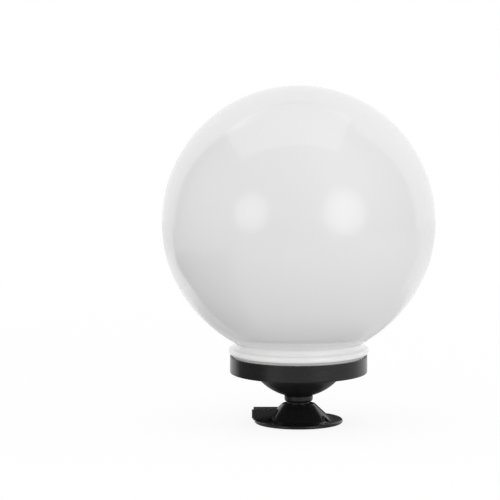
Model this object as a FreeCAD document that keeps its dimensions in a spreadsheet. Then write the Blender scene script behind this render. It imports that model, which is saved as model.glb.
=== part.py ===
import FreeCAD, Part
import math
import os
import re

import Sketcher

# Globe post light: an opal ball on a black collar and dish, held by a clamped ball joint on a
# bell-shaped foot that is screwed to a post or pillar.
# Millimetres, +Z up, origin on the lamp's axis at the underside of the foot, front towards -Y.

Vector = FreeCAD.Vector
doc = FreeCAD.newDocument("GlobePostLight")
sheet = doc.addObject("Spreadsheet::Sheet", "Sizes")

# Driving dimensions, piece by piece from the foot up
SIZES = [
    ("disc_width", 15.3, "disc of the foot outside the bell"),
    ("foot_thick", 3.2, "disc of the foot"),
    ("foot_edge_radius", 1.6, "rounding of the disc's rim"),
    ("foot_height", 16.9, "top of the bell above the underside"),
    ("bell_base_radius", 23.7, "bell where it meets the disc"),
    ("bell_flare", 2.9, "skirt of the bell, wider at its base than at its waist"),
    ("bell_waist_height", 10.9, "height of the waist"),
    ("bell_waist_round", 10.0, "rounding of the waist"),
    ("bell_taper", 6.3, "shoulder inside the waist"),
    ("bell_round", 1.0, "rounding of the shoulder"),
    ("bell_foot_round", 1.5, "hollow rounding between bell and disc"),
    ("bell_wall", 2.4, "skirt of the bell"),
    ("crater_rim", 1.6, "flat rim round the dished top"),
    ("crater_draft", 0.6, "dished top, narrower at its floor"),
    ("crater_depth", 4.3, "dished top of the bell"),
    ("crater_floor_thick", 2.6, "floor that carries the stud"),
    ("foot_hole_margin", 3.8, "centres of the three screw holes outside the bell"),
    ("foot_hole_radius", 2.25, "screw holes for 4 mm screws"),
    ("cover_overhang", 1.0, "cable cover past the rim of the disc"),
    ("cover_width", 16.0, "cable cover"),
    ("cover_wall", 1.6, "cable cover"),
    ("cover_round", 0.5, "edges of the cable cover"),
    ("cover_gap", 0.1, "cable cover to the bell"),
    ("cover_screw_margin", 3.5, "screw outside the bell, to the left"),
    ("cover_screw_front", 3.8, "screw forward of the middle of the cover"),
    ("cover_post_radius", 3.0, "post for the screw inside the cover"),
    ("cover_sink_depth", 1.5, "counterbore for the screw's head"),
    ("cover_screw_head_radius", 2.3, "cover screw"),
    ("cover_screw_head_height", 1.2, "cover screw"),
    ("cover_screw_radius", 1.2, "cover screw"),
    ("cover_screw_bite", 2.4, "cover screw's hold in the disc"),
    ("grommet_side", 2.0, "cable way behind the middle of the cover"),
    ("grommet_bore_radius", 2.6, "cable way"),
    ("grommet_wall", 0.7, "grommet in the cover's end wall"),
    ("grommet_lip_width", 0.8, "grommet's outer lip past its neck"),
    ("grommet_inner_lip_width", 0.4, "grommet's inner lip past its neck"),
    ("grommet_room", 0.15, "inner lip to the cover and the disc"),
    ("grommet_lip_thick", 1.2, "grommet's lips"),
    ("bell_port_play", 0.4, "cable way through the skirt of the bell, wider than the grommet's"),
    ("stud_radius", 3.9, "hollow stud"),
    ("stud_wall", 1.3, "stud round its way for the wires"),
    ("stud_bottom", 4.0, "lower end of the stud above the underside"),
    ("stud_end", 0.9, "stud above the ring"),
    ("stud_flange_width", 2.6, "stud's flange on the crater's floor"),
    ("stud_flange_thick", 0.8, "stud's flange"),
    ("washer_width", 4.1, "washer under the crater's floor"),
    ("washer_thick", 1.0, "washer under the crater's floor"),
    ("stud_nut_width", 3.5, "hexagon nut from the stud to its corners"),
    ("stud_nut_height", 4.0, "hexagon nut"),
    ("ball_radius", 8.6, "ball of the joint"),
    ("ball_neck_height", 1.284, "sleeve under the ball"),
    ("ball_neck_wall", 0.65, "sleeve under the ball"),
    ("ball_flat_depth", 1.6, "flat on top of the ball"),
    ("pivot_gap", 0.05, "running fit of the ball on the stud"),
    ("ball_ring_width", 1.3, "ring above the ball"),
    ("ball_ring_thick", 1.0, "ring above the ball"),
    ("ball_gap", 0.2, "ball to its socket"),
    ("socket_lip_drop", 5.0, "lower end of the socket below the ball's centre"),
    ("socket_top_rise", 4.5, "upper end of the socket above the ball's centre"),
    ("finger_wall", 0.9, "end of the slotted socket"),
    ("thread_height", 0.6, "thread of the socket above its unthreaded end"),
    ("socket_lip_height", 3.2, "unthreaded end of the socket"),
    ("socket_slot_width", 1.2, "slots between the fingers"),
    ("socket_slot_height", 6.4, "slots between the fingers"),
    ("nut_wall", 2.1, "clamp nut outside its thread"),
    ("nut_height", 5.1, "clamp nut"),
    ("nut_drop", 2.9, "underside of the clamp nut below the ball's centre"),
    ("nut_round", 2.0, "rounded lower edge of the clamp nut"),
    ("nut_lip_height", 0.9, "inner lip that squeezes the fingers"),
    ("thread_gap", 0.1, "threads, to each other"),
    ("bowl_nut_gap", 0.7, "dish above the outer edge of the clamp nut"),
    ("bowl_wall", 2.6, "dish"),
    ("bowl_rim_radius", 39.35, "dish where it meets the collar"),
    ("bowl_mouth_flare", 1.3, "flared mouth above the socket"),
    ("bowl_rim_width", 4.95, "flat rim of the dish"),
    ("bowl_seal_inset", 3.25, "middle of the gasket inside the dish's edge"),
    ("bowl_seal_width", 1.6, "gasket"),
    ("bowl_seal_thick", 1.0, "gasket"),
    ("collar_base", 44.6, "underside of the collar above the foot"),
    ("collar_radius", 60.5, "collar"),
    ("collar_height", 15.1, "collar"),
    ("collar_wall", 1.9, "collar"),
    ("collar_floor", 2.5, "collar"),
    ("collar_round", 1.3, "lower edge of the collar"),
    ("collar_mouth_margin", 4.5, "opening in the collar's floor inside the screws"),
    ("ledge_width", 2.9, "interrupted ledge inside the collar"),
    ("ledge_drop", 1.1, "ledge below the collar's top"),
    ("ledge_thick", 3.1, "ledge that holds the globe's lugs"),
    ("globe_radius", 120.0, "globe"),
    ("globe_wall", 2.4, "globe"),
    ("neck_inset", 4.0, "neck of the globe inside the collar's outside"),
    ("neck_height", 4.9, "neck between flange and ball"),
    ("flange_overhang", 1.25, "stop flange of the globe past the collar"),
    ("flange_height", 5.7, "stop flange of the globe"),
    ("flange_round", 2.6, "edges of the stop flange"),
    ("neck_round", 2.4, "hollow rounding between neck and flange"),
    ("flange_gap", 1.8, "shadow gap between collar and flange"),
    ("spigot_gap", 0.7, "spigot inside the ledge"),
    ("neck_wall", 2.4, "spigot of the globe's neck"),
    ("spigot_bottom_gap", 5.4, "spigot above the collar's floor line"),
    ("lug_gap", 0.9, "bayonet lugs to the collar's wall"),
    ("lug_height", 2.8, "bayonet lugs"),
    ("lug_angle", 30.0, "width of a lug, degrees"),
    ("notch_angle", 40.0, "width of a notch in the ledge, degrees"),
    ("stop_angle", 3.0, "width of a stop rib, degrees"),
    ("stop_back_angle", 20.0, "stop rib behind a lug's middle, degrees"),
    ("fit_gap", 0.3, "pieces that turn past each other"),
    ("bowl_screw_inset", 9.85, "three screws through the collar, inside the dish's edge"),
    ("bowl_post_radius", 3.4, "posts in the dish"),
    ("bowl_screw_depth", 7.0, "hold of the screws in the posts"),
    ("screw_radius", 1.5, "3 mm screws"),
    ("screw_head_radius", 2.8, "3 mm screws"),
    ("screw_head_height", 1.7, "3 mm screws"),
    ("bridge_width", 20.0, "lampholder bridge"),
    ("bridge_thick", 1.5, "sheet of the bridge"),
    ("bridge_rise", 7.4, "deck of the bridge above its feet"),
    ("bridge_tab", 11.5, "feet of the bridge"),
    ("bridge_riser_run", 6.0, "sloped part of the bridge"),
    ("bridge_riser_shift", 0.8, "thickness of the slope, level"),
    ("bridge_screw_inset", 5.0, "screws from the ends of the bridge"),
    ("bridge_screw_margin", 2.35, "screws of the bridge inside the dish's edge"),
    ("holder_flange_width", 2.0, "lampholder's base outside its wall"),
    ("holder_flange_height", 4.0, "lampholder's base"),
    ("holder_wall", 3.8, "lampholder's shell"),
    ("holder_skirt_wall", 2.1, "lampholder's shell round the boss of its base"),
    ("holder_height", 38.0, "lampholder"),
    ("sleeve_room", 1.1, "lampholder's bore round the sleeve"),
    ("holder_floor", 10.5, "lampholder"),
    ("holder_screw_reach", 9.0, "screws of the lampholder"),
    ("cap_play", 0.4, "bulb's cap in the sleeve"),
    ("sleeve_wall", 0.6, "threaded sleeve"),
    ("sleeve_drop", 3.0, "threaded sleeve below the lampholder's top"),
    ("sleeve_ring_width", 1.5, "sleeve's floor ring"),
    ("contact_stem_radius", 1.95, "centre contact"),
    ("contact_disc_radius", 4.6, "centre contact"),
    ("contact_disc_thick", 0.8, "centre contact"),
    ("contact_button_radius", 2.4, "centre contact"),
    ("contact_button_height", 1.3, "centre contact"),
    ("contact_stem_end", 1.0, "centre contact's stem above the bridge"),
    ("cap_radius", 13.1, "bulb's screw cap"),
    ("cap_height", 22.0, "bulb's screw cap"),
    ("tip_radius", 4.0, "bulb's tip contact"),
    ("tip_height", 1.4, "bulb's tip contact"),
    ("insulator_height", 2.2, "ring between tip and cap"),
    ("bulb_radius", 30.0, "bulb"),
    ("housing_step", 0.3, "bulb's housing past the cap"),
    ("housing_height", 38.0, "bulb's housing"),
    ("housing_curve_radius", 60.0, "flare of the bulb's housing"),
    ("dome_skirt", 6.0, "straight foot of the bulb's dome"),
    ("dome_wall", 1.2, "bulb's dome"),
    ("block_half_length", 10.0, "terminal block, left to right"),
    ("block_gap", 0.8, "terminal block's far corners to the dish"),
    ("block_depth", 13.0, "terminal block"),
    ("block_height", 9.0, "terminal block"),
    ("block_seat", 9.7, "terminal block's seat below the collar"),
    ("block_seat_run", 8.0, "seat under the terminal block, front to back"),
    ("block_pole_reach", 5.0, "poles of the terminal block"),
    ("block_way_height", 4.0, "wire ways above the block's seat"),
    ("block_way_radius", 2.0, "wire ways"),
    ("clamp_bore_radius", 1.2, "brass clamps in the wire ways"),
    ("clamp_inset", 2.0, "brass clamps from the block's faces"),
    ("block_screw_radius", 1.0, "clamp screws"),
    ("block_screw_spread", 2.6, "clamp screws from the block's middle"),
    ("lead_radius", 0.9, "inner leads"),
    ("lead_front", 2.0, "leads in front of the axis"),
    ("lead_bite", 3.4, "stripped ends in the clamps and the lampholder"),
    ("lead_hole_radius", 1.3, "holes for the leads"),
    ("overrun", 1.0, "cutting tools past the cut"),
    ("sink", 0.3, "joined solids into each other"),
]

for row, (alias, size, note) in enumerate(SIZES, start=1):
    sheet.set(f"A{row}", note)
    sheet.set(f"B{row}", str(size))
    sheet.setAlias(f"B{row}", alias)
doc.recompute()

# Sizes that follow from the driving ones, so that pieces which fit together stay together
FOLLOWS = {
    "foot_radius": "bell_base_radius + disc_width",
    "bell_waist_radius": "bell_base_radius - bell_flare",
    "bell_top_radius": "bell_waist_radius - bell_taper",
    "crater_radius": "bell_top_radius - crater_rim",
    "crater_floor_radius": "crater_radius - crater_draft",
    "foot_hole_ring_radius": "bell_base_radius + foot_hole_margin",
    "cover_reach": "foot_radius + cover_overhang",
    "cover_screw_reach": "bell_base_radius + cover_screw_margin",
    "grommet_neck_radius": "grommet_bore_radius + grommet_wall",
    "grommet_lip_radius": "grommet_neck_radius + grommet_lip_width",
    "grommet_inner_lip_radius": "grommet_neck_radius + grommet_inner_lip_width",
    "cover_height": "2 * (grommet_inner_lip_radius + grommet_room) + cover_wall",
    "bell_port_radius": "grommet_bore_radius + bell_port_play",
    "stud_bore_radius": "stud_radius - stud_wall",
    "stud_flange_radius": "stud_radius + stud_flange_width",
    "washer_radius": "stud_radius + washer_width",
    "stud_nut_radius": "stud_radius + stud_nut_width",
    "ball_neck_radius": "stud_radius + pivot_gap + ball_neck_wall",
    "ball_flat_rise": "ball_radius - ball_flat_depth",
    "ball_ring_radius": "stud_radius + ball_ring_width",
    "socket_lip_radius": "ball_radius + ball_gap + finger_wall",
    "socket_thread_radius": "socket_lip_radius + thread_height",
    "nut_radius": "socket_thread_radius + thread_gap + nut_wall",
    "bowl_floor_radius": "socket_lip_radius + bowl_mouth_flare",
    "bowl_land_radius": "bowl_rim_radius - bowl_rim_width",
    "bowl_seal_radius": "bowl_rim_radius - bowl_seal_inset",
    "bowl_screw_ring_radius": "bowl_rim_radius - bowl_screw_inset",
    "collar_mouth_radius": "bowl_screw_ring_radius - collar_mouth_margin",
    "collar_inner_radius": "collar_radius - collar_wall",
    "ledge_radius": "collar_inner_radius - ledge_width",
    "neck_radius": "collar_radius - neck_inset",
    "flange_radius": "collar_radius + flange_overhang",
    "spigot_radius": "ledge_radius - spigot_gap",
    "lug_radius": "collar_inner_radius - lug_gap",
    "seal_radius": "collar_inner_radius - fit_gap",
    "bridge_screw_reach": "bowl_rim_radius - bridge_screw_margin",
    "bridge_half_length": "bridge_screw_reach + bridge_screw_inset",
    "bridge_riser_foot": "bridge_half_length - bridge_tab",
    "bridge_deck_half": "bridge_riser_foot - bridge_riser_run",
    "sleeve_inner_radius": "cap_radius + cap_play",
    "sleeve_outer_radius": "sleeve_inner_radius + sleeve_wall",
    "sleeve_ring_radius": "sleeve_inner_radius - sleeve_ring_width",
    "sleeve_height": "holder_height - holder_floor - sleeve_drop",
    "holder_bore_radius": "sleeve_outer_radius + sleeve_room",
    "holder_radius": "holder_bore_radius + holder_wall",
    "holder_flange_radius": "holder_radius + holder_flange_width",
    "holder_boss_radius": "holder_radius - holder_skirt_wall - thread_gap",
    "contact_stem_length": "holder_floor - contact_stem_end",
    "housing_neck_radius": "cap_radius + housing_step",
}
ALIASES = {alias for alias, size, note in SIZES}
WORD = re.compile(r"[A-Za-z_]\w*")


def linked(text):
    """The expression with every size written out in the driving sizes of the sheet."""
    def written(hit):
        word = hit.group()
        if word in FOLLOWS:
            return f"({linked(FOLLOWS[word])})"
        return "Sizes." + word if word in ALIASES else word
    return WORD.sub(written, text)


def size_of(text):
    return float(sheet.evalExpression(linked(text)))


def bind(thing, prop, text):
    thing.setExpression(prop, linked(text))


def reach(radius, half):
    """Height of a sphere's surface over the plane of its centre, at a distance from its axis."""
    return f"sqrt(({radius})^2 - ({half})^2)"


# Heights that follow from the driving dimensions
CRATER_FLOOR = "(foot_height - crater_depth)"
CRATER_UNDER = "(foot_height - crater_depth - crater_floor_thick)"
STUD_FLANGE_TOP = f"({CRATER_FLOOR} + stud_flange_thick)"
BALL_UNDER = f"({STUD_FLANGE_TOP} + pivot_gap)"
BALL_CENTRE = f"({BALL_UNDER} + ball_neck_height + {reach('ball_radius', 'ball_neck_radius')})"
NUT_UNDER = f"({BALL_CENTRE} - nut_drop)"
NUT_TOP = f"({NUT_UNDER} + nut_height)"
COLLAR_TOP = "(collar_base + collar_height)"
FLOOR_TOP = "(collar_base + collar_floor)"
LEDGE_TOP = "(collar_base + collar_height - ledge_drop)"
LEDGE_UNDER = "(collar_base + collar_height - ledge_drop - ledge_thick)"
FLANGE_UNDER = "(collar_base + collar_height + flange_gap)"
FLANGE_TOP = "(collar_base + collar_height + flange_gap + flange_height)"
NECK_TOP = "(collar_base + collar_height + flange_gap + flange_height + neck_height)"
GLOBE_CENTRE = f"({NECK_TOP} + {reach('globe_radius', 'neck_radius')})"
# The dish's sphere passes through its edge at the collar and just above the clamp nut's outer edge
BOWL_LOW = f"({NUT_TOP} + bowl_nut_gap)"
BOWL_CENTRE = (f"(((bowl_rim_radius^2 - nut_radius^2) / (collar_base - {BOWL_LOW})"
               f" + collar_base + {BOWL_LOW}) / 2)")
FOLLOWS["bowl_sphere_radius"] = f"sqrt(bowl_rim_radius^2 + ({BOWL_CENTRE} - collar_base)^2)"
INNER_SPHERE = "(bowl_sphere_radius - bowl_wall)"
DECK_UNDER = f"({FLOOR_TOP} + bridge_rise)"
DECK_TOP = f"({FLOOR_TOP} + bridge_rise + bridge_thick)"
HOLDER_FLOOR_TOP = f"({DECK_TOP} + holder_floor)"
TIP_UNDER = f"({HOLDER_FLOOR_TOP} + contact_disc_thick + contact_button_height + fit_gap)"
CAP_UNDER = f"({TIP_UNDER} + tip_height + insulator_height)"
CAP_TOP = f"({CAP_UNDER} + cap_height)"
HOUSING_TOP = f"({CAP_TOP} + housing_height)"
BLOCK_SEAT = "(collar_base - block_seat)"
WAY_HEIGHT = f"({BLOCK_SEAT} + block_way_height)"
# The terminal block's far corners stay clear of the inside of the dish at the height of its seat
BLOCK_CORNER = f"({reach(INNER_SPHERE, f'{BOWL_CENTRE} - {BLOCK_SEAT}')} - block_gap)"
FOLLOWS["block_far"] = reach(BLOCK_CORNER, "block_half_length")
FOLLOWS["block_near"] = "block_far - block_depth"
GROMMET_HEIGHT = "(foot_thick + (cover_height - cover_wall) / 2)"
COVER_SCREW_LENGTH = "cover_height - cover_sink_depth + cover_screw_bite"

nodes = []


def node(thing, name):
    """Keeps a finished sub-part under its own name."""
    thing.Label = name
    nodes.append(thing)
    return thing


def origin_plane(body, role):
    return next(plane for plane in body.Origin.OriginFeatures if plane.Role == role)


def fix_corner(sketch, line, end, spot, corner):
    """Ties one corner of an outline to the sheet, across and up."""
    for kind, text, place, axis in zip(("DistanceX", "DistanceY"), corner, spot, (-2, -1)):
        if text == "0":
            sketch.addConstraint(Sketcher.Constraint("PointOnObject", line, end, axis))
        else:
            number = sketch.addConstraint(Sketcher.Constraint(kind, -1, 1, line, end, place))
            sketch.setExpression(f"Constraints[{number}]", linked(text))


def outline(body, name, role, corners):
    """A closed sketch on an origin plane.

    A corner is (across, up), or (across, up, radius, side) where an arc leads to the next one,
    with its centre to the left of the way there for side 1 and to the right for side -1.
    """
    sketch = body.newObject("Sketcher::SketchObject", name)
    sketch.AttachmentSupport = [(origin_plane(body, role), "")]
    sketch.MapMode = "FlatFace"
    spots = [(size_of(corner[0]), size_of(corner[1])) for corner in corners]
    heads = []
    for number, corner in enumerate(corners):
        start = Vector(*spots[number], 0)
        end = Vector(*spots[(number + 1) % len(corners)], 0)
        if len(corner) == 2:
            sketch.addGeometry(Part.LineSegment(start, end))
            heads.append((1, 2))
            continue
        radius, side = size_of(corner[2]), corner[3]
        chord = end - start
        left = Vector(-chord.y, chord.x, 0).normalize()
        centre = (start + end) / 2 + left * side * math.sqrt(radius ** 2 - (chord.Length / 2) ** 2)
        first, last = (start, end) if side > 0 else (end, start)
        angles = [math.atan2(point.y - centre.y, point.x - centre.x) for point in (first, last)]
        circle = Part.Circle(centre, Vector(0, 0, 1), radius)
        sketch.addGeometry(Part.ArcOfCircle(circle, *angles))
        heads.append((1, 2) if side > 0 else (2, 1))
        rounded = sketch.addConstraint(Sketcher.Constraint("Radius", number, radius))
        sketch.setExpression(f"Constraints[{rounded}]", linked(corner[2]))
    for number, corner in enumerate(corners):
        before = number - 1 if number else len(corners) - 1
        joined = Sketcher.Constraint("Coincident", before, heads[before][1], number, heads[number][0])
        sketch.addConstraint(joined)
        fix_corner(sketch, number, heads[number][0], spots[number], corner[:2])
    return sketch


def turned(name, corners):
    """A turned piece: its half outline, radius and height, spun about the lamp's axis."""
    body = doc.addObject("PartDesign::Body", name)
    sketch = outline(body, name + "_outline", "XZ_Plane", corners)
    spin = body.newObject("PartDesign::Revolution", name + "_spin")
    spin.Profile = sketch
    spin.ReferenceAxis = (sketch, ["V_Axis"])
    spin.Angle = 360
    doc.recompute()
    return body


def padded(name, role, corners, height, symmetric=False):
    """A straight piece: its outline pushed out square to an origin plane."""
    body = doc.addObject("PartDesign::Body", name)
    sketch = outline(body, name + "_outline", role, corners)
    pad = body.newObject("PartDesign::Pad", name + "_pad")
    pad.Profile = sketch
    pad.SideType = "Symmetric" if symmetric else "One side"
    bind(pad, "Length", height)
    doc.recompute()
    return body


def level_edges(body, height):
    """Names of the edges that lie in a level plane at the given height."""
    found = []
    for number, edge in enumerate(body.Tip.Shape.Edges, start=1):
        heights = [point.Z for point in edge.Vertexes]
        if all(math.isclose(z, size_of(height), abs_tol=1e-4) for z in heights):
            found.append(f"Edge{number}")
    return found


def circles(body, rings):
    """Names of the circular edges about the axis with the given radii and heights."""
    found = []
    for number, edge in enumerate(body.Tip.Shape.Edges, start=1):
        if edge.Degenerated or not isinstance(edge.Curve, Part.Circle):
            continue
        for radius, height in rings:
            same_radius = math.isclose(edge.Curve.Radius, size_of(radius), abs_tol=1e-4)
            same_height = math.isclose(edge.Curve.Center.z, size_of(height), abs_tol=1e-4)
            if same_radius and same_height:
                found.append(f"Edge{number}")
    return found


def rounded(body, name, edges, radius):
    """Rounds the named edges of a piece."""
    base = body.Tip
    fillet = body.newObject("PartDesign::Fillet", name)
    fillet.Base = (base, edges)
    bind(fillet, "Radius", radius)
    doc.recompute()
    return body


def place(thing, at, axis="Z", turn=0):
    """Puts a primitive at a point, its axis along Z, X or Y, and turns it about the lamp's axis."""
    lie = {
        "Z": FreeCAD.Rotation(),
        "X": FreeCAD.Rotation(Vector(0, 1, 0), 90),
        "Y": FreeCAD.Rotation(Vector(1, 0, 0), -90),
    }[axis]
    thing.Placement = FreeCAD.Placement(Vector(), FreeCAD.Rotation(Vector(0, 0, 1), turn).multiply(lie))
    for letter, text in zip("xyz", at):
        bind(thing, f"Placement.Base.{letter}", text)
    return thing


def cylinder(name, radius, height, at=("0", "0", "0"), axis="Z"):
    thing = doc.addObject("Part::Cylinder", name)
    bind(thing, "Radius", radius)
    bind(thing, "Height", height)
    return place(thing, at, axis)


def sector(name, radius, height, bottom, angle, middle):
    """A pie slice about the lamp's axis, its middle at the given bearing in degrees."""
    thing = doc.addObject("Part::Cylinder", name)
    bind(thing, "Radius", radius)
    bind(thing, "Height", height)
    bind(thing, "Angle", angle)
    place(thing, ("0", "0", bottom))
    bind(thing, "Placement.Rotation.Angle", f"{middle} - ({angle}) / 2")
    return thing


def box(name, low, spans):
    thing = doc.addObject("Part::Box", name)
    for prop, text in zip(("Length", "Width", "Height"), spans):
        bind(thing, prop, text)
    return place(thing, low)


def sphere(name, radius, height):
    thing = doc.addObject("Part::Sphere", name)
    bind(thing, "Radius", radius)
    return place(thing, ("0", "0", height))


def fuse(name, things):
    joined = doc.addObject("Part::MultiFuse", name)
    joined.Shapes = things
    return joined


def cut(name, base, tools):
    """The base with the tools cut out of it, checked to have lost material."""
    lesser = doc.addObject("Part::Cut", name)
    lesser.Base = base
    lesser.Tool = tools[0] if len(tools) == 1 else fuse(name + "_tools", tools)
    doc.recompute()
    if not lesser.Shape.Volume < base.Shape.Volume:
        raise ValueError(f"{name} cuts nothing")
    return lesser


def common(name, things):
    shared = doc.addObject("Part::MultiCommon", name)
    shared.Shapes = things
    return shared


def around(ring, bearing):
    """Across and back for a point on a ring at a bearing in degrees."""
    return f"{ring} * cos({bearing})", f"{ring} * sin({bearing})"


def pan_screw(name, at, length, radius="screw_radius"):
    """A pan head on a shank that points down; `at` is the underside of the head."""
    across, back, seat = at
    head = cylinder(name + "_head", "screw_head_radius", "screw_head_height", at)
    shank_at = (across, back, f"{seat} - ({length})")
    shank = cylinder(name + "_shank", radius, f"{length} + screw_head_height / 2", shank_at)
    return fuse(name, [head, shank])


# Foot: bell and disc in one moulding, hollow from below, with a dished top for the ball joint.
# Three screw holes, one at the back and two at the front, and a cable port in the left side.
BELL_HOLLOW = "(bell_waist_radius - 2 * bell_wall)"
foot_body = turned("foot_turned", [
    ("stud_radius", CRATER_UNDER),
    (BELL_HOLLOW, CRATER_UNDER),
    ("bell_base_radius - bell_wall", "foot_thick"),
    ("bell_base_radius - bell_wall", "0"),
    ("foot_radius - foot_edge_radius", "0", "foot_edge_radius", 1),
    ("foot_radius", "foot_thick / 2", "foot_edge_radius", 1),
    ("foot_radius - foot_edge_radius", "foot_thick"),
    ("bell_base_radius", "foot_thick"),
    ("bell_waist_radius", "bell_waist_height"),
    ("bell_top_radius", "foot_height"),
    ("crater_radius", "foot_height"),
    ("crater_floor_radius", CRATER_FLOOR),
    ("stud_radius", CRATER_FLOOR),
])
rounded(foot_body, "foot_shoulder", circles(foot_body, [("bell_top_radius", "foot_height")]), "bell_round")
flare_edge = circles(foot_body, [("bell_base_radius", "foot_thick")])
rounded(foot_body, "foot_flare", flare_edge, "bell_foot_round")
waist_edge = circles(foot_body, [("bell_waist_radius", "bell_waist_height")])
rounded(foot_body, "foot_waist", waist_edge, "bell_waist_round")

FOOT_HOLE_BEARINGS = (90, 210, 330)
foot_tools = []
for count, bearing in enumerate(FOOT_HOLE_BEARINGS):
    across, back = around("foot_hole_ring_radius", bearing)
    hole_at = (across, back, "-overrun")
    hole = cylinder(f"foot_hole_{count}", "foot_hole_radius", "foot_thick + 2 * overrun", hole_at)
    foot_tools.append(hole)
port_at = ("-bell_base_radius - overrun", "grommet_side", GROMMET_HEIGHT)
port_length = f"bell_base_radius - {BELL_HOLLOW} + 2 * overrun"
foot_tools.append(cylinder("foot_port", "bell_port_radius", port_length, port_at, "X"))
cover_screw_at = ("-cover_screw_reach", "-cover_screw_front")
pilot_at = (*cover_screw_at, "foot_thick - cover_screw_bite")
foot_tools.append(cylinder("foot_pilot", "cover_screw_radius", "cover_screw_bite + overrun", pilot_at))
foot = node(cut("foot_cut", foot_body, foot_tools), "foot")

# Cable cover: a square block over the cable way from the rim of the disc to the bell.
# Open below and towards the bell, with a post for its screw.
COVER_TOP = "(foot_thick + cover_height)"
cover_block = padded("cover_block", "XY_Plane", [
    ("-bell_top_radius", "-cover_width / 2"),
    ("-bell_top_radius", "cover_width / 2"),
    ("-cover_reach + cover_round", "cover_width / 2", "cover_round", 1),
    ("-cover_reach", "cover_width / 2 - cover_round"),
    ("-cover_reach", "-cover_width / 2 + cover_round", "cover_round", 1),
    ("-cover_reach + cover_round", "-cover_width / 2"),
], COVER_TOP)
rounded(cover_block, "cover_edges", level_edges(cover_block, COVER_TOP), "cover_round")
cover_hollow = box("cover_hollow", ("-cover_reach + cover_wall", "-cover_width / 2 + cover_wall", "0"), (
    "cover_reach",
    "cover_width - 2 * cover_wall",
    f"{COVER_TOP} - cover_wall",
))
cover_disc = cylinder("cover_disc", "cover_reach + cover_width", "foot_thick")
cover_shell = cut("cover_shell", cover_block, [cover_hollow, cover_disc])
cover_post = cylinder("cover_post", "cover_post_radius", "cover_height", (*cover_screw_at, "foot_thick"))
cover_bell = turned("cover_bell", [
    ("0", "0"),
    ("bell_base_radius + cover_gap + bell_foot_round", "0"),
    ("bell_base_radius + cover_gap + bell_foot_round", "foot_thick"),
    ("bell_base_radius + cover_gap", "foot_thick + bell_foot_round"),
    ("bell_waist_radius + cover_gap", "bell_waist_height"),
    ("bell_top_radius + cover_gap", "foot_height"),
    ("0", "foot_height"),
])
cover_hole_at = (*cover_screw_at, "foot_thick - overrun")
cover_sink_at = (*cover_screw_at, f"{COVER_TOP} - cover_sink_depth")
cover_tools = [
    cover_bell,
    cylinder("cover_hole", "cover_screw_radius", "cover_height + 2 * overrun", cover_hole_at),
    cylinder("cover_sink", "cover_screw_head_radius + sink", "cover_sink_depth + overrun", cover_sink_at),
    cylinder("cover_port", "grommet_neck_radius", "cover_wall + 2 * overrun", (
        "-cover_reach - overrun",
        "grommet_side",
        GROMMET_HEIGHT,
    ), "X"),
]
cover = node(cut("cover_cut", fuse("cover_whole", [cover_shell, cover_post]), cover_tools), "cable_cover")

cover_screw = fuse("cover_screw_whole", [
    cylinder("cover_screw_head", "cover_screw_head_radius", "cover_screw_head_height", cover_sink_at),
    cylinder("cover_screw_shank", "cover_screw_radius", COVER_SCREW_LENGTH, (
        *cover_screw_at,
        "foot_thick - cover_screw_bite",
    )),
])
node(cover_screw, "cover_screw")

# Cable grommet: a rubber ring with a lip on each side of the cover's end wall.
LIP_OUT = "(-cover_reach - grommet_lip_thick)"
grommet_solid = fuse("grommet_solid", [
    cylinder("grommet_neck", "grommet_neck_radius", "cover_wall + 2 * grommet_lip_thick",
             (LIP_OUT, "grommet_side", GROMMET_HEIGHT), "X"),
    cylinder("grommet_lip_outer", "grommet_lip_radius", "grommet_lip_thick",
             (LIP_OUT, "grommet_side", GROMMET_HEIGHT), "X"),
    cylinder("grommet_lip_inner", "grommet_inner_lip_radius", "grommet_lip_thick",
             ("-cover_reach + cover_wall", "grommet_side", GROMMET_HEIGHT), "X"),
])
GROMMET_LENGTH = "(cover_wall + 2 * grommet_lip_thick)"
grommet_bore = cylinder("grommet_bore", "grommet_bore_radius", f"{GROMMET_LENGTH} + 2 * overrun", (
    f"{LIP_OUT} - overrun",
    "grommet_side",
    GROMMET_HEIGHT,
), "X")
node(cut("grommet_cut", grommet_solid, [grommet_bore]), "cable_grommet")

# Ball joint: a hollow stud through the crater's floor carries a ball that turns on it.
RING_UNDER = f"({BALL_CENTRE} + ball_flat_rise + ball_gap / 2)"
STUD_TOP = f"({RING_UNDER} + ball_ring_thick + stud_end)"
node(turned("stud", [
    ("stud_bore_radius", "stud_bottom"),
    ("stud_radius", "stud_bottom"),
    ("stud_radius", CRATER_FLOOR),
    ("stud_flange_radius", CRATER_FLOOR),
    ("stud_flange_radius", STUD_FLANGE_TOP),
    ("stud_radius", STUD_FLANGE_TOP),
    ("stud_radius", STUD_TOP),
    ("stud_bore_radius", STUD_TOP),
]), "ball_stud")

node(turned("washer", [
    ("stud_radius", f"{CRATER_UNDER} - washer_thick"),
    ("washer_radius", f"{CRATER_UNDER} - washer_thick"),
    ("washer_radius", CRATER_UNDER),
    ("stud_radius", CRATER_UNDER),
]), "stud_washer")

nut_seat = f"{CRATER_UNDER} - washer_thick - stud_nut_height"
hexagon = doc.addObject("Part::Prism", "stud_nut_hexagon")
hexagon.Polygon = 6
bind(hexagon, "Circumradius", "stud_nut_radius")
bind(hexagon, "Height", "stud_nut_height")
place(hexagon, ("0", "0", nut_seat))
nut_hole = cylinder("stud_nut_hole", "stud_radius", "stud_nut_height + 2 * overrun",
                    ("0", "0", f"{nut_seat} - overrun"))
node(cut("stud_nut_cut", hexagon, [nut_hole]), "stud_nut")

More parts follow.
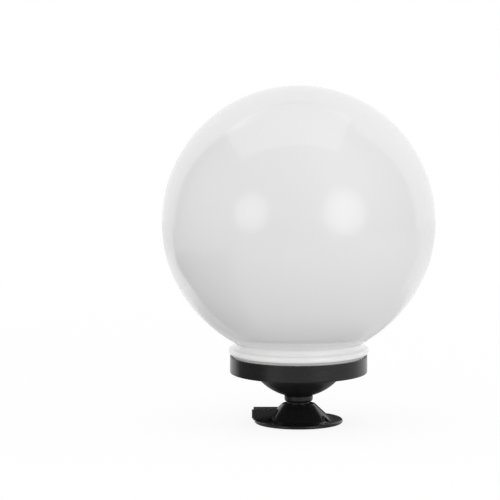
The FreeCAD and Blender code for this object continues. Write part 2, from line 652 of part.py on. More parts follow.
node(turned("ball", [
    ("stud_radius + pivot_gap", BALL_UNDER),
    ("ball_neck_radius", BALL_UNDER),
    ("ball_neck_radius", f"{BALL_CENTRE} - {reach('ball_radius', 'ball_neck_radius')}", "ball_radius", 1),
    (reach("ball_radius", "ball_flat_rise"), f"{BALL_CENTRE} + ball_flat_rise"),
    ("stud_radius + pivot_gap", f"{BALL_CENTRE} + ball_flat_rise"),
]), "swivel_ball")

node(turned("ball_ring", [
    ("stud_radius", RING_UNDER),
    ("ball_ring_radius", RING_UNDER),
    ("ball_ring_radius", f"{RING_UNDER} + ball_ring_thick"),
    ("stud_radius", f"{RING_UNDER} + ball_ring_thick"),
]), "ball_retaining_ring")

# Dish: a moulded bowl whose underside narrows to a slotted, threaded socket round the ball.
CUP = "(ball_radius + ball_gap)"
SOCKET_LIP = f"({BALL_CENTRE} - socket_lip_drop)"
THREAD_UNDER = f"({SOCKET_LIP} + socket_lip_height)"
SEAL_IN = "(bowl_seal_radius - bowl_seal_width / 2)"
SEAL_OUT = "(bowl_seal_radius + bowl_seal_width / 2)"
bowl_body = turned("bowl_turned", [
    (reach(CUP, "socket_lip_drop"), SOCKET_LIP),
    ("socket_lip_radius", SOCKET_LIP),
    ("socket_lip_radius", THREAD_UNDER),
    ("socket_thread_radius", THREAD_UNDER),
    ("socket_thread_radius", f"{BOWL_CENTRE} - {reach('bowl_sphere_radius', 'socket_thread_radius')}",
     "bowl_sphere_radius", 1),
    ("bowl_rim_radius", "collar_base"),
    (SEAL_OUT, "collar_base"),
    (SEAL_OUT, "collar_base - bowl_seal_thick"),
    (SEAL_IN, "collar_base - bowl_seal_thick"),
    (SEAL_IN, "collar_base"),
    ("bowl_land_radius", "collar_base"),
    ("bowl_land_radius", f"{BOWL_CENTRE} - {reach(INNER_SPHERE, 'bowl_land_radius')}", INNER_SPHERE, -1),
    ("bowl_floor_radius", f"{BOWL_CENTRE} - {reach(INNER_SPHERE, 'bowl_floor_radius')}"),
    (reach(CUP, "socket_top_rise"), f"{BALL_CENTRE} + socket_top_rise", CUP, -1),
])

# Posts for the three screws and a seat for the terminal block stand on the dish's curved floor
BOWL_SCREW_BEARINGS = (30, 150, 270)
posts = []
post_holes = []
for count, bearing in enumerate(BOWL_SCREW_BEARINGS):
    across, back = around("bowl_screw_ring_radius", bearing)
    posts.append(cylinder(f"bowl_post_{count}", "bowl_post_radius", "bowl_rim_radius",
                          (across, back, "collar_base - bowl_rim_radius")))
    post_holes.append(cylinder(f"bowl_post_hole_{count}", "screw_radius", "bowl_screw_depth + overrun",
                               (across, back, "collar_base - bowl_screw_depth")))
posts.append(box("bowl_block_seat", (
    "-block_half_length + overrun",
    "block_far - overrun - block_seat_run",
    "collar_base - bowl_rim_radius",
), (
    "2 * block_half_length - 2 * overrun",
    "block_seat_run",
    "bowl_rim_radius - block_seat",
)))
bowl_inside = sphere("bowl_inside", "bowl_sphere_radius - bowl_wall / 2", BOWL_CENTRE)
standing = common("bowl_posts", [fuse("bowl_posts_whole", posts), bowl_inside])
slots = []
SLOT_BOTTOM = f"{SOCKET_LIP} - overrun"
LONG = "(2 * socket_thread_radius + 2 * overrun)"
slots.append(box("bowl_slot_across", (f"-{LONG} / 2", "-socket_slot_width / 2", SLOT_BOTTOM),
                 (LONG, "socket_slot_width", "socket_slot_height + overrun")))
slots.append(box("bowl_slot_along", ("-socket_slot_width / 2", f"-{LONG} / 2", SLOT_BOTTOM),
                 ("socket_slot_width", LONG, "socket_slot_height + overrun")))
block_fix_hole = cylinder("bowl_block_hole", "block_screw_radius", "bowl_wall",
                          ("0", "block_near + block_depth / 2", f"{BLOCK_SEAT} - bowl_wall + overrun"))
bowl_whole = fuse("bowl_whole", [bowl_body, standing])
node(cut("bowl_cut", bowl_whole, post_holes + slots + [block_fix_hole]), "bowl")

node(turned("bowl_seal_ring", [
    (SEAL_IN, "collar_base - bowl_seal_thick"),
    (SEAL_OUT, "collar_base - bowl_seal_thick"),
    (SEAL_OUT, "collar_base"),
    (SEAL_IN, "collar_base"),
]), "bowl_seal")

# Clamp nut: squeezes the socket's fingers onto the ball.
clamp_body = turned("clamp_nut_turned", [
    ("socket_lip_radius + ball_gap", NUT_UNDER),
    ("nut_radius", NUT_UNDER),
    ("nut_radius", NUT_TOP),
    ("socket_thread_radius + thread_gap", NUT_TOP),
    ("socket_thread_radius + thread_gap", f"{NUT_UNDER} + nut_lip_height"),
    ("socket_lip_radius + ball_gap", f"{NUT_UNDER} + nut_lip_height"),
])
clamp_edge = circles(clamp_body, [("nut_radius", NUT_UNDER)])
node(rounded(clamp_body, "clamp_nut_edge", clamp_edge, "nut_round"), "clamp_nut")

# Collar: a cup with an interrupted ledge inside, under which the globe's lugs turn.
collar_body = turned("collar_turned", [
    ("collar_mouth_radius", "collar_base"),
    ("collar_radius", "collar_base"),
    ("collar_radius", COLLAR_TOP),
    ("collar_inner_radius", COLLAR_TOP),
    ("collar_inner_radius", LEDGE_TOP),
    ("ledge_radius", LEDGE_TOP),
    ("ledge_radius", LEDGE_UNDER),
    ("collar_inner_radius", LEDGE_UNDER),
    ("collar_inner_radius", FLOOR_TOP),
    ("collar_mouth_radius", FLOOR_TOP),
])
lower_edge = circles(collar_body, [("collar_radius", "collar_base")])
rounded(collar_body, "collar_edge", lower_edge, "collar_round")

LUG_BEARINGS = (0, 120, 240)
NOTCH_TURN = 60
notches = []
stops = []
for count, bearing in enumerate(LUG_BEARINGS):
    notches.append(sector(f"collar_notch_{count}", "collar_inner_radius", "ledge_thick + 2 * overrun",
                          f"{LEDGE_UNDER} - overrun", "notch_angle", bearing + NOTCH_TURN))
    stops.append(sector(f"collar_stop_{count}", "collar_inner_radius + sink", "lug_height + sink",
                        f"{LEDGE_UNDER} - lug_height", "stop_angle", f"{bearing} - stop_back_angle"))
stop_clear = cylinder("collar_stop_clear", "ledge_radius", "lug_height + 2 * overrun",
                      ("0", "0", f"{LEDGE_UNDER} - lug_height - overrun"))
stop_ribs = cut("collar_stops", fuse("collar_stops_whole", stops), [stop_clear])
collar_tools = list(notches)
for count, bearing in enumerate(BOWL_SCREW_BEARINGS):
    across, back = around("bowl_screw_ring_radius", bearing)
    collar_tools.append(cylinder(f"collar_screw_hole_{count}", "screw_radius", "collar_floor + 2 * overrun",
                                 (across, back, "collar_base - overrun")))
for side in (-1, 1):
    collar_tools.append(cylinder(f"collar_bridge_hole_{side + 1}", "screw_radius",
                                 "collar_floor + 2 * overrun",
                                 (f"{side} * bridge_screw_reach", "0", "collar_base - overrun")))
collar_notched = cut("collar_notched", collar_body, collar_tools)
node(fuse("collar_whole", [collar_notched, stop_ribs]), "collar")

bowl_screws = []
for count, bearing in enumerate(BOWL_SCREW_BEARINGS):
    across, back = around("bowl_screw_ring_radius", bearing)
    bowl_screws.append(pan_screw(f"bowl_screw_{count}", (across, back, FLOOR_TOP),
                                 "collar_floor + bowl_screw_depth"))
node(fuse("bowl_screws_all", bowl_screws), "bowl_screws")

# Globe: a blown opal ball, open below, bonded to its neck along the crease above the neck.
SPIGOT_UNDER = "(collar_base + spigot_bottom_gap)"
NECK_BORE = "(spigot_radius - neck_wall)"
GLOBE_INNER = "(globe_radius - globe_wall)"
node(turned("globe_turned", [
    (NECK_BORE, NECK_TOP),
    ("neck_radius", NECK_TOP, "globe_radius", 1),
    ("0", f"{GLOBE_CENTRE} + globe_radius"),
    ("0", f"{GLOBE_CENTRE} + {GLOBE_INNER}", GLOBE_INNER, -1),
    (NECK_BORE, f"{GLOBE_CENTRE} - {reach(GLOBE_INNER, NECK_BORE)}"),
]), "globe")

# Neck of the globe: a moulded ring with a stop flange, and a spigot with three bayonet lugs.
neck_body = turned("neck_turned", [
    (NECK_BORE, SPIGOT_UNDER),
    ("spigot_radius", SPIGOT_UNDER),
    ("spigot_radius", FLANGE_UNDER),
    ("flange_radius", FLANGE_UNDER),
    ("flange_radius", FLANGE_TOP),
    ("neck_radius", FLANGE_TOP),
    ("neck_radius", NECK_TOP),
    (NECK_BORE, NECK_TOP),
])
flange_edges = circles(neck_body, [("flange_radius", FLANGE_UNDER), ("flange_radius", FLANGE_TOP)])
rounded(neck_body, "neck_flange_edges", flange_edges, "flange_round")
neck_edge = circles(neck_body, [("neck_radius", FLANGE_TOP)])
rounded(neck_body, "neck_hollow", neck_edge, "neck_round")
LUG_TOP = f"({LEDGE_UNDER} - fit_gap)"
lugs = []
for count, bearing in enumerate(LUG_BEARINGS):
    lugs.append(sector(f"neck_lug_{count}", "lug_radius", "lug_height", f"{LUG_TOP} - lug_height",
                       "lug_angle", bearing))
lug_clear = cylinder("neck_lug_clear", "spigot_radius - sink", "lug_height + 2 * overrun",
                     ("0", "0", f"{LUG_TOP} - lug_height - overrun"))
lug_pads = cut("neck_lugs", fuse("neck_lugs_whole", lugs), [lug_clear])
node(fuse("neck_whole", [neck_body, lug_pads]), "globe_neck")

node(turned("globe_seal_ring", [
    ("spigot_radius", f"{LEDGE_TOP} + fit_gap"),
    ("seal_radius", f"{LEDGE_TOP} + fit_gap"),
    ("seal_radius", FLANGE_UNDER),
    ("spigot_radius", FLANGE_UNDER),
]), "globe_seal")

# Lampholder bridge: a cranked steel strip across the collar, with holes for screws and leads.
bridge_body = padded("bridge_bent", "XZ_Plane", [
    ("-bridge_half_length", FLOOR_TOP),
    ("-bridge_riser_foot", FLOOR_TOP),
    ("-bridge_deck_half", DECK_UNDER),
    ("bridge_deck_half", DECK_UNDER),
    ("bridge_riser_foot", FLOOR_TOP),
    ("bridge_half_length", FLOOR_TOP),
    ("bridge_half_length", f"{FLOOR_TOP} + bridge_thick"),
    ("bridge_riser_foot + bridge_riser_shift", f"{FLOOR_TOP} + bridge_thick"),
    ("bridge_deck_half + bridge_riser_shift", DECK_TOP),
    ("-bridge_deck_half - bridge_riser_shift", DECK_TOP),
    ("-bridge_riser_foot - bridge_riser_shift", f"{FLOOR_TOP} + bridge_thick"),
    ("-bridge_half_length", f"{FLOOR_TOP} + bridge_thick"),
], "bridge_width", symmetric=True)
bridge_tools = []
for side in (-1, 1):
    bridge_tools += [
        cylinder(f"bridge_foot_hole_{side + 1}", "screw_radius", "bridge_thick + 2 * overrun",
                 (f"{side} * bridge_screw_reach", "0", f"{FLOOR_TOP} - overrun")),
        cylinder(f"bridge_deck_hole_{side + 1}", "screw_radius", "bridge_thick + 2 * overrun",
                 (f"{side} * holder_screw_reach", "0", f"{DECK_UNDER} - overrun")),
        cylinder(f"bridge_lead_hole_{side + 1}", "lead_hole_radius", "bridge_thick + 2 * overrun",
                 (f"{side} * block_pole_reach", "-lead_front", f"{DECK_UNDER} - overrun")),
    ]
node(cut("bridge_cut", bridge_body, bridge_tools), "holder_bridge")

bridge_screws = []
holder_screws = []
for side in (-1, 1):
    bridge_screws.append(pan_screw(f"bridge_screw_{side + 1}", (
        f"{side} * bridge_screw_reach",
        "0",
        f"{FLOOR_TOP} + bridge_thick",
    ), "bridge_thick + collar_floor"))
    holder_screws.append(pan_screw(f"holder_screw_{side + 1}", (
        f"{side} * holder_screw_reach",
        "0",
        HOLDER_FLOOR_TOP,
    ), "holder_floor + bridge_thick + overrun"))
node(fuse("bridge_screws_all", bridge_screws), "bridge_screws")
node(fuse("holder_screws_all", holder_screws), "holder_screws")

# Lampholder: glazed ceramic base and screwed-on shell, brass threaded sleeve and centre contact.
HOLDER_JOINT = f"({DECK_TOP} + holder_flange_height)"
holder_body = turned("holder_turned", [
    ("contact_stem_radius", DECK_TOP),
    ("holder_flange_radius", DECK_TOP),
    ("holder_flange_radius", HOLDER_JOINT),
    ("holder_boss_radius", HOLDER_JOINT),
    ("holder_boss_radius", HOLDER_FLOOR_TOP),
    ("contact_stem_radius", HOLDER_FLOOR_TOP),
])
holder_tools = []
for side in (-1, 1):
    holder_tools += [
        cylinder(f"holder_screw_hole_{side + 1}", "screw_radius", "holder_floor + 2 * overrun",
                 (f"{side} * holder_screw_reach", "0", f"{DECK_TOP} - overrun")),
        cylinder(f"holder_lead_hole_{side + 1}", "lead_hole_radius", "lead_bite + 2 * overrun",
                 (f"{side} * block_pole_reach", "-lead_front", f"{DECK_TOP} - overrun")),
    ]
node(cut("holder_cut", holder_body, holder_tools), "lampholder_base")

node(turned("holder_shell", [
    ("holder_boss_radius + thread_gap", HOLDER_JOINT),
    ("holder_radius", HOLDER_JOINT),
    ("holder_radius", f"{DECK_TOP} + holder_height"),
    ("holder_bore_radius", f"{DECK_TOP} + holder_height"),
    ("holder_bore_radius", f"{HOLDER_FLOOR_TOP} + sleeve_wall"),
    ("holder_boss_radius + thread_gap", f"{HOLDER_FLOOR_TOP} + sleeve_wall"),
]), "lampholder_shell")

node(turned("sleeve", [
    ("sleeve_ring_radius", HOLDER_FLOOR_TOP),
    ("sleeve_outer_radius", HOLDER_FLOOR_TOP),
    ("sleeve_outer_radius", f"{HOLDER_FLOOR_TOP} + sleeve_height"),
    ("sleeve_inner_radius", f"{HOLDER_FLOOR_TOP} + sleeve_height"),
    ("sleeve_inner_radius", f"{HOLDER_FLOOR_TOP} + sleeve_wall"),
    ("sleeve_ring_radius", f"{HOLDER_FLOOR_TOP} + sleeve_wall"),
]), "thread_sleeve")

BUTTON_FOOT = f"({HOLDER_FLOOR_TOP} + contact_disc_thick)"
node(turned("contact", [
    ("0", f"{HOLDER_FLOOR_TOP} - contact_stem_length"),
    ("contact_stem_radius", f"{HOLDER_FLOOR_TOP} - contact_stem_length"),
    ("contact_stem_radius", HOLDER_FLOOR_TOP),
    ("contact_disc_radius", HOLDER_FLOOR_TOP),
    ("contact_disc_radius", BUTTON_FOOT),
    ("contact_button_radius", f"{BUTTON_FOOT} + contact_button_height"),
    ("0", f"{BUTTON_FOOT} + contact_button_height"),
]), "centre_contact")

# Bulb: screw cap, insulator, tip, flared housing and a diffusing dome.
node(turned("tip", [
    ("0", TIP_UNDER),
    ("tip_radius - tip_height", TIP_UNDER),
    ("tip_radius", f"{TIP_UNDER} + tip_height"),
    ("0", f"{TIP_UNDER} + tip_height"),
]), "bulb_tip")
node(turned("insulator", [
    ("0", f"{TIP_UNDER} + tip_height"),
    ("tip_radius", f"{TIP_UNDER} + tip_height"),
    ("cap_radius - tip_height", CAP_UNDER),
    ("0", CAP_UNDER),
]), "bulb_insulator")
node(turned("cap", [
    ("0", CAP_UNDER),
    ("cap_radius - tip_height", CAP_UNDER),
    ("cap_radius", f"{CAP_UNDER} + tip_height"),
    ("cap_radius", CAP_TOP),
    ("0", CAP_TOP),
]), "bulb_cap")
node(turned("housing", [
    ("0", CAP_TOP),
    ("housing_neck_radius", CAP_TOP, "housing_curve_radius", -1),
    ("bulb_radius", HOUSING_TOP),
    ("0", HOUSING_TOP),
]), "bulb_housing")
DOME_CENTRE = f"({HOUSING_TOP} + dome_skirt)"
node(turned("dome", [
    ("bulb_radius - dome_wall", HOUSING_TOP),
    ("bulb_radius", HOUSING_TOP),
    ("bulb_radius", DOME_CENTRE, "bulb_radius", 1),
    ("0", f"{DOME_CENTRE} + bulb_radius"),
    ("0", f"{DOME_CENTRE} + bulb_radius - dome_wall", "bulb_radius - dome_wall", -1),
    ("bulb_radius - dome_wall", DOME_CENTRE),
]), "bulb_dome")

# Terminal block: two poles side by side, wires along the block's depth, screws from above.
block_low = ("-block_half_length", "block_near", BLOCK_SEAT)
block_solid = box("block_solid", block_low, ("2 * block_half_length", "block_depth", "block_height"))
BLOCK_TOP = f"({BLOCK_SEAT} + block_height)"
BLOCK_MIDDLE = "(block_near + block_depth / 2)"
block_tools = [cylinder("block_fix_way", "block_screw_radius", "block_height + 2 * overrun",
                        ("0", BLOCK_MIDDLE, f"{BLOCK_SEAT} - overrun"))]
clamps = []
block_screws = [cylinder("block_fix_screw", "block_screw_radius", "block_height + bowl_wall - overrun",
                         ("0", BLOCK_MIDDLE, f"{BLOCK_SEAT} - bowl_wall + overrun"))]
for side in (-1, 1):
    pole = f"{side} * block_pole_reach"
    block_tools.append(cylinder(f"block_way_{side + 1}", "block_way_radius", "block_depth + 2 * overrun",
                                (pole, "block_near - overrun", WAY_HEIGHT), "Y"))
    clamp_solid = cylinder(f"clamp_solid_{side + 1}", "block_way_radius", "block_depth - 2 * clamp_inset",
                           (pole, "block_near + clamp_inset", WAY_HEIGHT), "Y")
    clamp_tools = [cylinder(f"clamp_bore_{side + 1}", "clamp_bore_radius", "block_depth + 2 * overrun",
                            (pole, "block_near - overrun", WAY_HEIGHT), "Y")]
    for end in (-1, 1):
        spot = f"{BLOCK_MIDDLE} + {end} * block_screw_spread"
        well_name = f"{side + 1}_{end + 1}"
        screw_bottom = f"{WAY_HEIGHT} + clamp_bore_radius - sink"
        well_height = f"{BLOCK_TOP} - ({screw_bottom}) + overrun"
        block_tools.append(cylinder(f"block_well_{well_name}", "block_screw_radius", well_height,
                                    (pole, spot, screw_bottom)))
        clamp_tools.append(cylinder(f"clamp_well_{well_name}", "block_screw_radius", well_height,
                                    (pole, spot, screw_bottom)))
        block_screws.append(cylinder(f"block_screw_{well_name}", "block_screw_radius",
                                     f"{well_height} - 2 * overrun", (pole, spot, screw_bottom)))
    clamps.append(cut(f"clamp_cut_{side + 1}", clamp_solid, clamp_tools))
node(cut("block_cut", block_solid, block_tools), "terminal_block")
node(fuse("clamps_all", clamps), "terminal_clamps")
node(fuse("block_screws_all", block_screws), "terminal_screws")


def lead(name, side):
    """A lead down from the lampholder, round one wide bend, into its pole of the terminal block."""
    across = side * size_of("block_pole_reach")
    front = -size_of("lead_front")
    top = Vector(across, front, size_of(f"{DECK_TOP} + lead_bite"))
    turn = Vector(across, front, size_of(WAY_HEIGHT))
    end = Vector(across, size_of("block_near + clamp_inset + lead_bite"), size_of(WAY_HEIGHT))
    down, along = (turn - top).normalize(), (end - turn).normalize()
    shorter = min((turn - top).Length, (end - turn).Length)
    share = 0.45
    bend = share * shorter / math.tan(down.getAngle(along) / 2)
    tangent = share * shorter
    centre = turn - down * tangent + along * bend
    middle = centre + (turn - centre).normalize() * bend
    path = Part.Wire([
        Part.LineSegment(top, turn - down * tangent).toShape(),
        Part.Arc(turn - down * tangent, middle, turn + along * tangent).toShape(),
        Part.LineSegment(turn + along * tangent, end).toShape(),
    ])
    section = Part.Wire(Part.Circle(top, down, size_of("lead_radius")).toShape())
    thing = doc.addObject("Part::Feature", name + "_tube")
    thing.Shape = path.makePipeShell([section], True, False)
    wanted = path.Length * math.pi * size_of("lead_radius") ** 2
    print(f"{name}: bend radius {bend:.2f}, volume {thing.Shape.Volume:.2f} of {wanted:.2f}")
    return node(thing, name)


lead("lead_live", 1)
lead("lead_neutral", -1)

# Every object recomputed without a fault, every sub-part a valid solid, then one file each
doc.recompute()
for thing in doc.Objects:
    if "Invalid" in thing.State or "Error" in thing.State:
        raise ValueError(f"{thing.Name} failed: {thing.State}")
for thing in nodes:
    shape = thing.Shape
    if shape.isNull() or not shape.isValid() or not shape.Solids:
        raise ValueError(f"{thing.Label} is not a valid solid")

os.makedirs("parts", exist_ok=True)
for thing in nodes:
    thing.Shape.exportStep(f"parts/{thing.Label}.step")
    low, high = thing.Shape.BoundBox.ZMin, thing.Shape.BoundBox.ZMax
    print(f"{thing.Label:20s} {len(thing.Shape.Solids)} solids, {thing.Shape.Volume:10.1f} mm3, "
          f"z {low:.2f} to {high:.2f}")
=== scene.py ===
import math

import bmesh
import bpy
from mathutils import Matrix, Vector


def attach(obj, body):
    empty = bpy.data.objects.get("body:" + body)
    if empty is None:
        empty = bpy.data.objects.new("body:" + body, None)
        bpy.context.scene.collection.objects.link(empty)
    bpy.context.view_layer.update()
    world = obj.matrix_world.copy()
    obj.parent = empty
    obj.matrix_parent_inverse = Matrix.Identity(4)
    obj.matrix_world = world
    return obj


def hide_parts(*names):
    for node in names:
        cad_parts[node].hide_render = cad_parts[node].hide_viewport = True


# Globe post light: an opal ball on a black collar and dish, held by a clamped ball joint on a
# bell-shaped foot. Metres, +Z up, front towards -Y; sizes of the pieces are written in millimetres.
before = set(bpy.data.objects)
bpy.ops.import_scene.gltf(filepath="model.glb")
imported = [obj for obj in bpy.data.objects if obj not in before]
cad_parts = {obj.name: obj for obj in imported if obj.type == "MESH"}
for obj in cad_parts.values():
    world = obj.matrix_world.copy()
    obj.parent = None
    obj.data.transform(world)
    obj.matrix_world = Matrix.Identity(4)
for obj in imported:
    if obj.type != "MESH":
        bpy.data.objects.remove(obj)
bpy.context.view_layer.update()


# Camera: a long lens three metres off, a little above the globe and turned slightly to the left
# of the lamp, as a studio's product camera stands.
lens = bpy.data.cameras.new("studio_camera")
lens.lens = 262.83
lens.sensor_width = 36.0
camera = bpy.data.objects.new("studio_camera", lens)
stand, turned_left, looking_down, rolled = (0.0, -3.1782, 0.56216), 0.769, 7.33, -0.0982
sight = (Matrix.Rotation(math.radians(turned_left), 4, "Z")
         @ Matrix.Rotation(math.radians(90.0 - looking_down), 4, "X")
         @ Matrix.Rotation(math.radians(rolled), 4, "Z"))
camera.matrix_world = Matrix.Translation(stand) @ sight
bpy.context.collection.objects.link(camera)
bpy.context.scene.camera = camera
bpy.context.scene.view_settings.view_transform = "Standard"


# Studio: a plain pale table, white paper round the back, one large soft panel overhead and soft
# lamps at the front.
class Value:
    """A value in a node tree, on which plain maths adds the Math nodes."""

    def __init__(self, socket):
        self.socket = socket

    def add(self, kind, settings, links, output=0):
        """Adds a node to the same tree: its settings first, then its sockets' values or links."""
        tree = self.socket.id_data
        node = tree.nodes.new(kind)
        for name, setting in settings.items():
            setattr(node, name, setting)
        for name, value in links.items():
            if isinstance(value, Value):
                tree.links.new(value.socket, node.inputs[name])
            else:
                node.inputs[name].default_value = value
        return Value(node.outputs[output])

    def maths(self, operation, *others):
        """A Math node that takes this value first and the others after it."""
        operands = dict(enumerate((self, *others)))
        return self.add("ShaderNodeMath", {"operation": operation}, operands)

    def __add__(self, other):
        return self.maths("ADD", other)

    def __sub__(self, other):
        return self.maths("SUBTRACT", other)

    def __rsub__(self, other):
        return self.add("ShaderNodeMath", {"operation": "SUBTRACT"}, {0: other, 1: self})

    def __mul__(self, other):
        return self.maths("MULTIPLY", other)

    def __truediv__(self, other):
        return self.maths("DIVIDE", other)

    __radd__ = __add__
    __rmul__ = __mul__

    def between(self, low, high):
        """Nought below low, one above high, and smooth between them."""
        return self.add("ShaderNodeMapRange", {"interpolation_type": "SMOOTHSTEP"},
                        {"Value": self, "From Min": low, "From Max": high})

    def parts(self):
        """The three parts of a vector."""
        return [self.add("ShaderNodeSeparateXYZ", {}, {"Vector": self}, axis) for axis in range(3)]

    def mix(self, first, second):
        """One colour where this value is nought and another where it is one."""
        factor, color_a, color_b, color_out = 0, 6, 7, 2
        return self.add("ShaderNodeMix", {"data_type": "RGBA"},
                        {factor: self, color_a: first, color_b: second}, color_out)


world = bpy.data.worlds.new("studio")
world.use_nodes = True
bpy.context.scene.world = world
sky = world.node_tree.nodes["Background"]
compass = Value(world.node_tree.nodes.new("ShaderNodeTexCoord").outputs["Generated"])
rays = world.node_tree.nodes.new("ShaderNodeLightPath").outputs
seen = Value(rays["Is Camera Ray"]).maths("MAXIMUM", Value(rays["Is Transmission Ray"]))
mirrored = Value(rays["Is Glossy Ray"])
across, along, up = compass.parts()


PAPER, PAPER_TURN, PAPER_EDGE = 1.0, 0.097, (0.47, 0.57)


def behind(side, back):
    """One towards the white paper round the back of the lamp, nought towards the dark room."""
    flat = (side * side + back * back + 0.0001).maths("SQRT")
    return (back / flat + side / flat * PAPER_TURN).between(*PAPER_EDGE)


def glow(direction, wide, narrow, level):
    """A soft round light in some direction, as the globe mirrors it."""
    toward = compass.add("ShaderNodeVectorMath", {"operation": "DOT_PRODUCT"},
                         {0: compass, 1: direction}, 1)
    return toward.between(math.cos(math.radians(wide)), math.cos(math.radians(narrow))) * level


# The room's even light comes a little more from the sides and less from above. Gloss sees the
# paper up to its upper edge, the darker room in front of it, and the lamps that stand there.
room_fill = 0.89 + across * across * 0.27 - up.between(0.1, 1.0) * 0.22
paper = behind(across, along) * (1.0 - up.between(0.74, 0.86))
right_side, left_side = across.between(-0.5, 0.9), (0.0 - across).between(0.7, 1.0)
dark_room = 0.22 + right_side * 0.16 + left_side * 0.35
left_lamp = glow((-0.640, -0.735, 0.215), wide=20.0, narrow=2.0, level=1.9)
right_lamp = glow((0.622, -0.750, 0.215), wide=24.0, narrow=4.0, level=2.1)
high_lamp = glow((0.52, -0.40, 0.75), wide=34.0, narrow=4.0, level=0.25)
mirror_level = paper * (PAPER - dark_room) + dark_room + left_lamp + right_lamp + high_lamp
room = mirrored * mirror_level + (1.0 - mirrored) * room_fill
world.node_tree.links.new((seen * (1.0 - room) + room).socket, sky.inputs["Strength"])
sky.inputs["Color"].default_value = (1.0, 1.0, 1.0, 1.0)


def lamp(name, spot, aim, width, depth, radiance, **seen_by):
    """A soft rectangular lamp of an even brightness."""
    light = bpy.data.lights.new(name, "AREA")
    light.shape = "RECTANGLE"
    light.size, light.size_y = width, depth
    light.energy = radiance * math.pi * width * depth
    thing = bpy.data.objects.new(name, light)
    facing = (Vector(spot) - Vector(aim)).to_track_quat("Z", "Y").to_matrix().to_4x4()
    thing.matrix_world = Matrix.Translation(spot) @ facing
    thing.visible_camera = False
    thing.visible_diffuse = seen_by.get("diffuse", True)
    thing.visible_glossy = seen_by.get("glossy", True)
    bpy.context.collection.objects.link(thing)


panel = {"aim": (-0.17, 0.1099, 0.0), "width": 1.40, "depth": 0.92}
lamp("overhead_panel", (-0.17, 0.11, 1.178), radiance=0.10, **panel)
lamp("panel_shine", (-0.17, 0.11, 1.18), radiance=0.55, diffuse=False, **panel)
lamp("front_fill", (0.80, -2.5, 0.75), (0.0, 0.0, 0.17), width=1.8, depth=1.4, radiance=1.35,
     glossy=False)

table_reach, table_gap = 1.5, 0.0002
table_shape = bmesh.new()
bmesh.ops.create_grid(table_shape, x_segments=1, y_segments=1, size=table_reach)
bmesh.ops.translate(table_shape, verts=table_shape.verts, vec=(0.0, 0.0, -table_gap))
table_mesh = bpy.data.meshes.new("table")
table_shape.to_mesh(table_mesh)
table = bpy.data.objects.new("table", table_mesh)
bpy.context.collection.objects.link(table)
paper_top = bpy.data.materials.new("table_paper")
paper_top.use_nodes = True
nodes = paper_top.node_tree.nodes
nodes.remove(nodes["Principled BSDF"])
table_place = Value(nodes.new("ShaderNodeTexCoord").outputs["Object"])
path = nodes.new("ShaderNodeLightPath").outputs
shown = Value(path["Is Camera Ray"]).maths("MAXIMUM", Value(path["Is Transmission Ray"]))
glossy = Value(path["Is Glossy Ray"])
side, back, _ = table_place.parts()
square = side * side + back * back
far = square.between(0.10, 0.9)

# Gloss sees the table dim close to the foot, and the paper's foot dimmer there: a painted shadow of
# the lamp. Further off it is dark to its left and paler further off there, pale in front, a little
# paler at the right, and palest where it leads to the paper behind.
bearing = side / (square + 0.0001).maths("SQRT")
front_level = bearing.between(-0.88, -0.70) * 0.55
left_level = (0.0 - bearing).between(0.70, 0.90) * square.between(0.16, 0.60) * 0.5
right_level = bearing.between(0.70, 0.78) * 0.10
# Painted shadow: within this reach of the foot, under the globe, the table is dimmed for gloss.
clear_of_painted_shadow = square.between(0.004, 0.016)
table_level = (1.0 - clear_of_painted_shadow) * 0.24 + clear_of_painted_shadow * (front_level + left_level + right_level)
paper_foot = behind(side * (0.5 + square.between(0.0, 0.25) * 0.5), back + 0.02)
# Painted shadow: the paper's foot is dimmer close to the lamp.
paper_level = paper_foot * (0.40 + square.between(0.02, 0.10) * 0.50)
mirrored_top = table_level.maths("MAXIMUM", paper_level)
unseen = glossy * mirrored_top + (1.0 - glossy) * 0.46
bright = shown * (0.86 + far * 0.14) + (1.0 - shown) * unseen
lit = table_place.add("ShaderNodeEmission", {}, {"Color": (1.0, 1.0, 1.0, 1.0), "Strength": bright})
matt = table_place.add("ShaderNodeBsdfDiffuse", {}, {"Color": (0.16, 0.16, 0.16, 1.0)})
both = table_place.add("ShaderNodeAddShader", {}, {0: lit, 1: matt})
top = table_place.add("ShaderNodeMixShader", {}, {0: far, 1: both, 2: lit})
paper_top.node_tree.links.new(top.socket, nodes["Material Output"].inputs["Surface"])
table_mesh.materials.append(paper_top)

# A small dark card stands on the table behind the foot, where only mirrored rays meet it: a painted
# dark reflection in the foot, casting no shadow.
card_middle, card_width, card_height = (0.012, 0.11, 0.025), 0.116, 0.050
standing = (Matrix.Translation(card_middle) @ Matrix.Rotation(math.radians(90.0), 4, "X")
            @ Matrix.Diagonal((card_width, card_height, 1.0, 1.0)))
card_shape = bmesh.new()
bmesh.ops.create_grid(card_shape, x_segments=1, y_segments=1, size=0.5)
bmesh.ops.transform(card_shape, verts=card_shape.verts, matrix=standing)
card_mesh = bpy.data.meshes.new("painted_reflection_card")
card_shape.to_mesh(card_mesh)
card = bpy.data.objects.new("painted_reflection_card", card_mesh)
card.visible_camera = card.visible_diffuse = False
card.visible_shadow = card.visible_transmission = False
bpy.context.collection.objects.link(card)
painted_reflection_grey = bpy.data.materials.new("painted_reflection_grey")
painted_reflection_grey.use_nodes = True
card_sockets = painted_reflection_grey.node_tree.nodes["Principled BSDF"].inputs
card_sockets["Base Color"].default_value = (0.09, 0.09, 0.09, 1.0)
card_sockets["Roughness"].default_value = 0.9
card_mesh.materials.append(painted_reflection_grey)


# Foot: a bell on a flat disc, moulded in one piece in glossy black plastic, with a dished top
# that carries the stud and three holes for the screws that hold the lamp to its post. The bell's
# wide skirt flares down to the disc and leaves room round the screws and the cable cover.
MM = 0.001


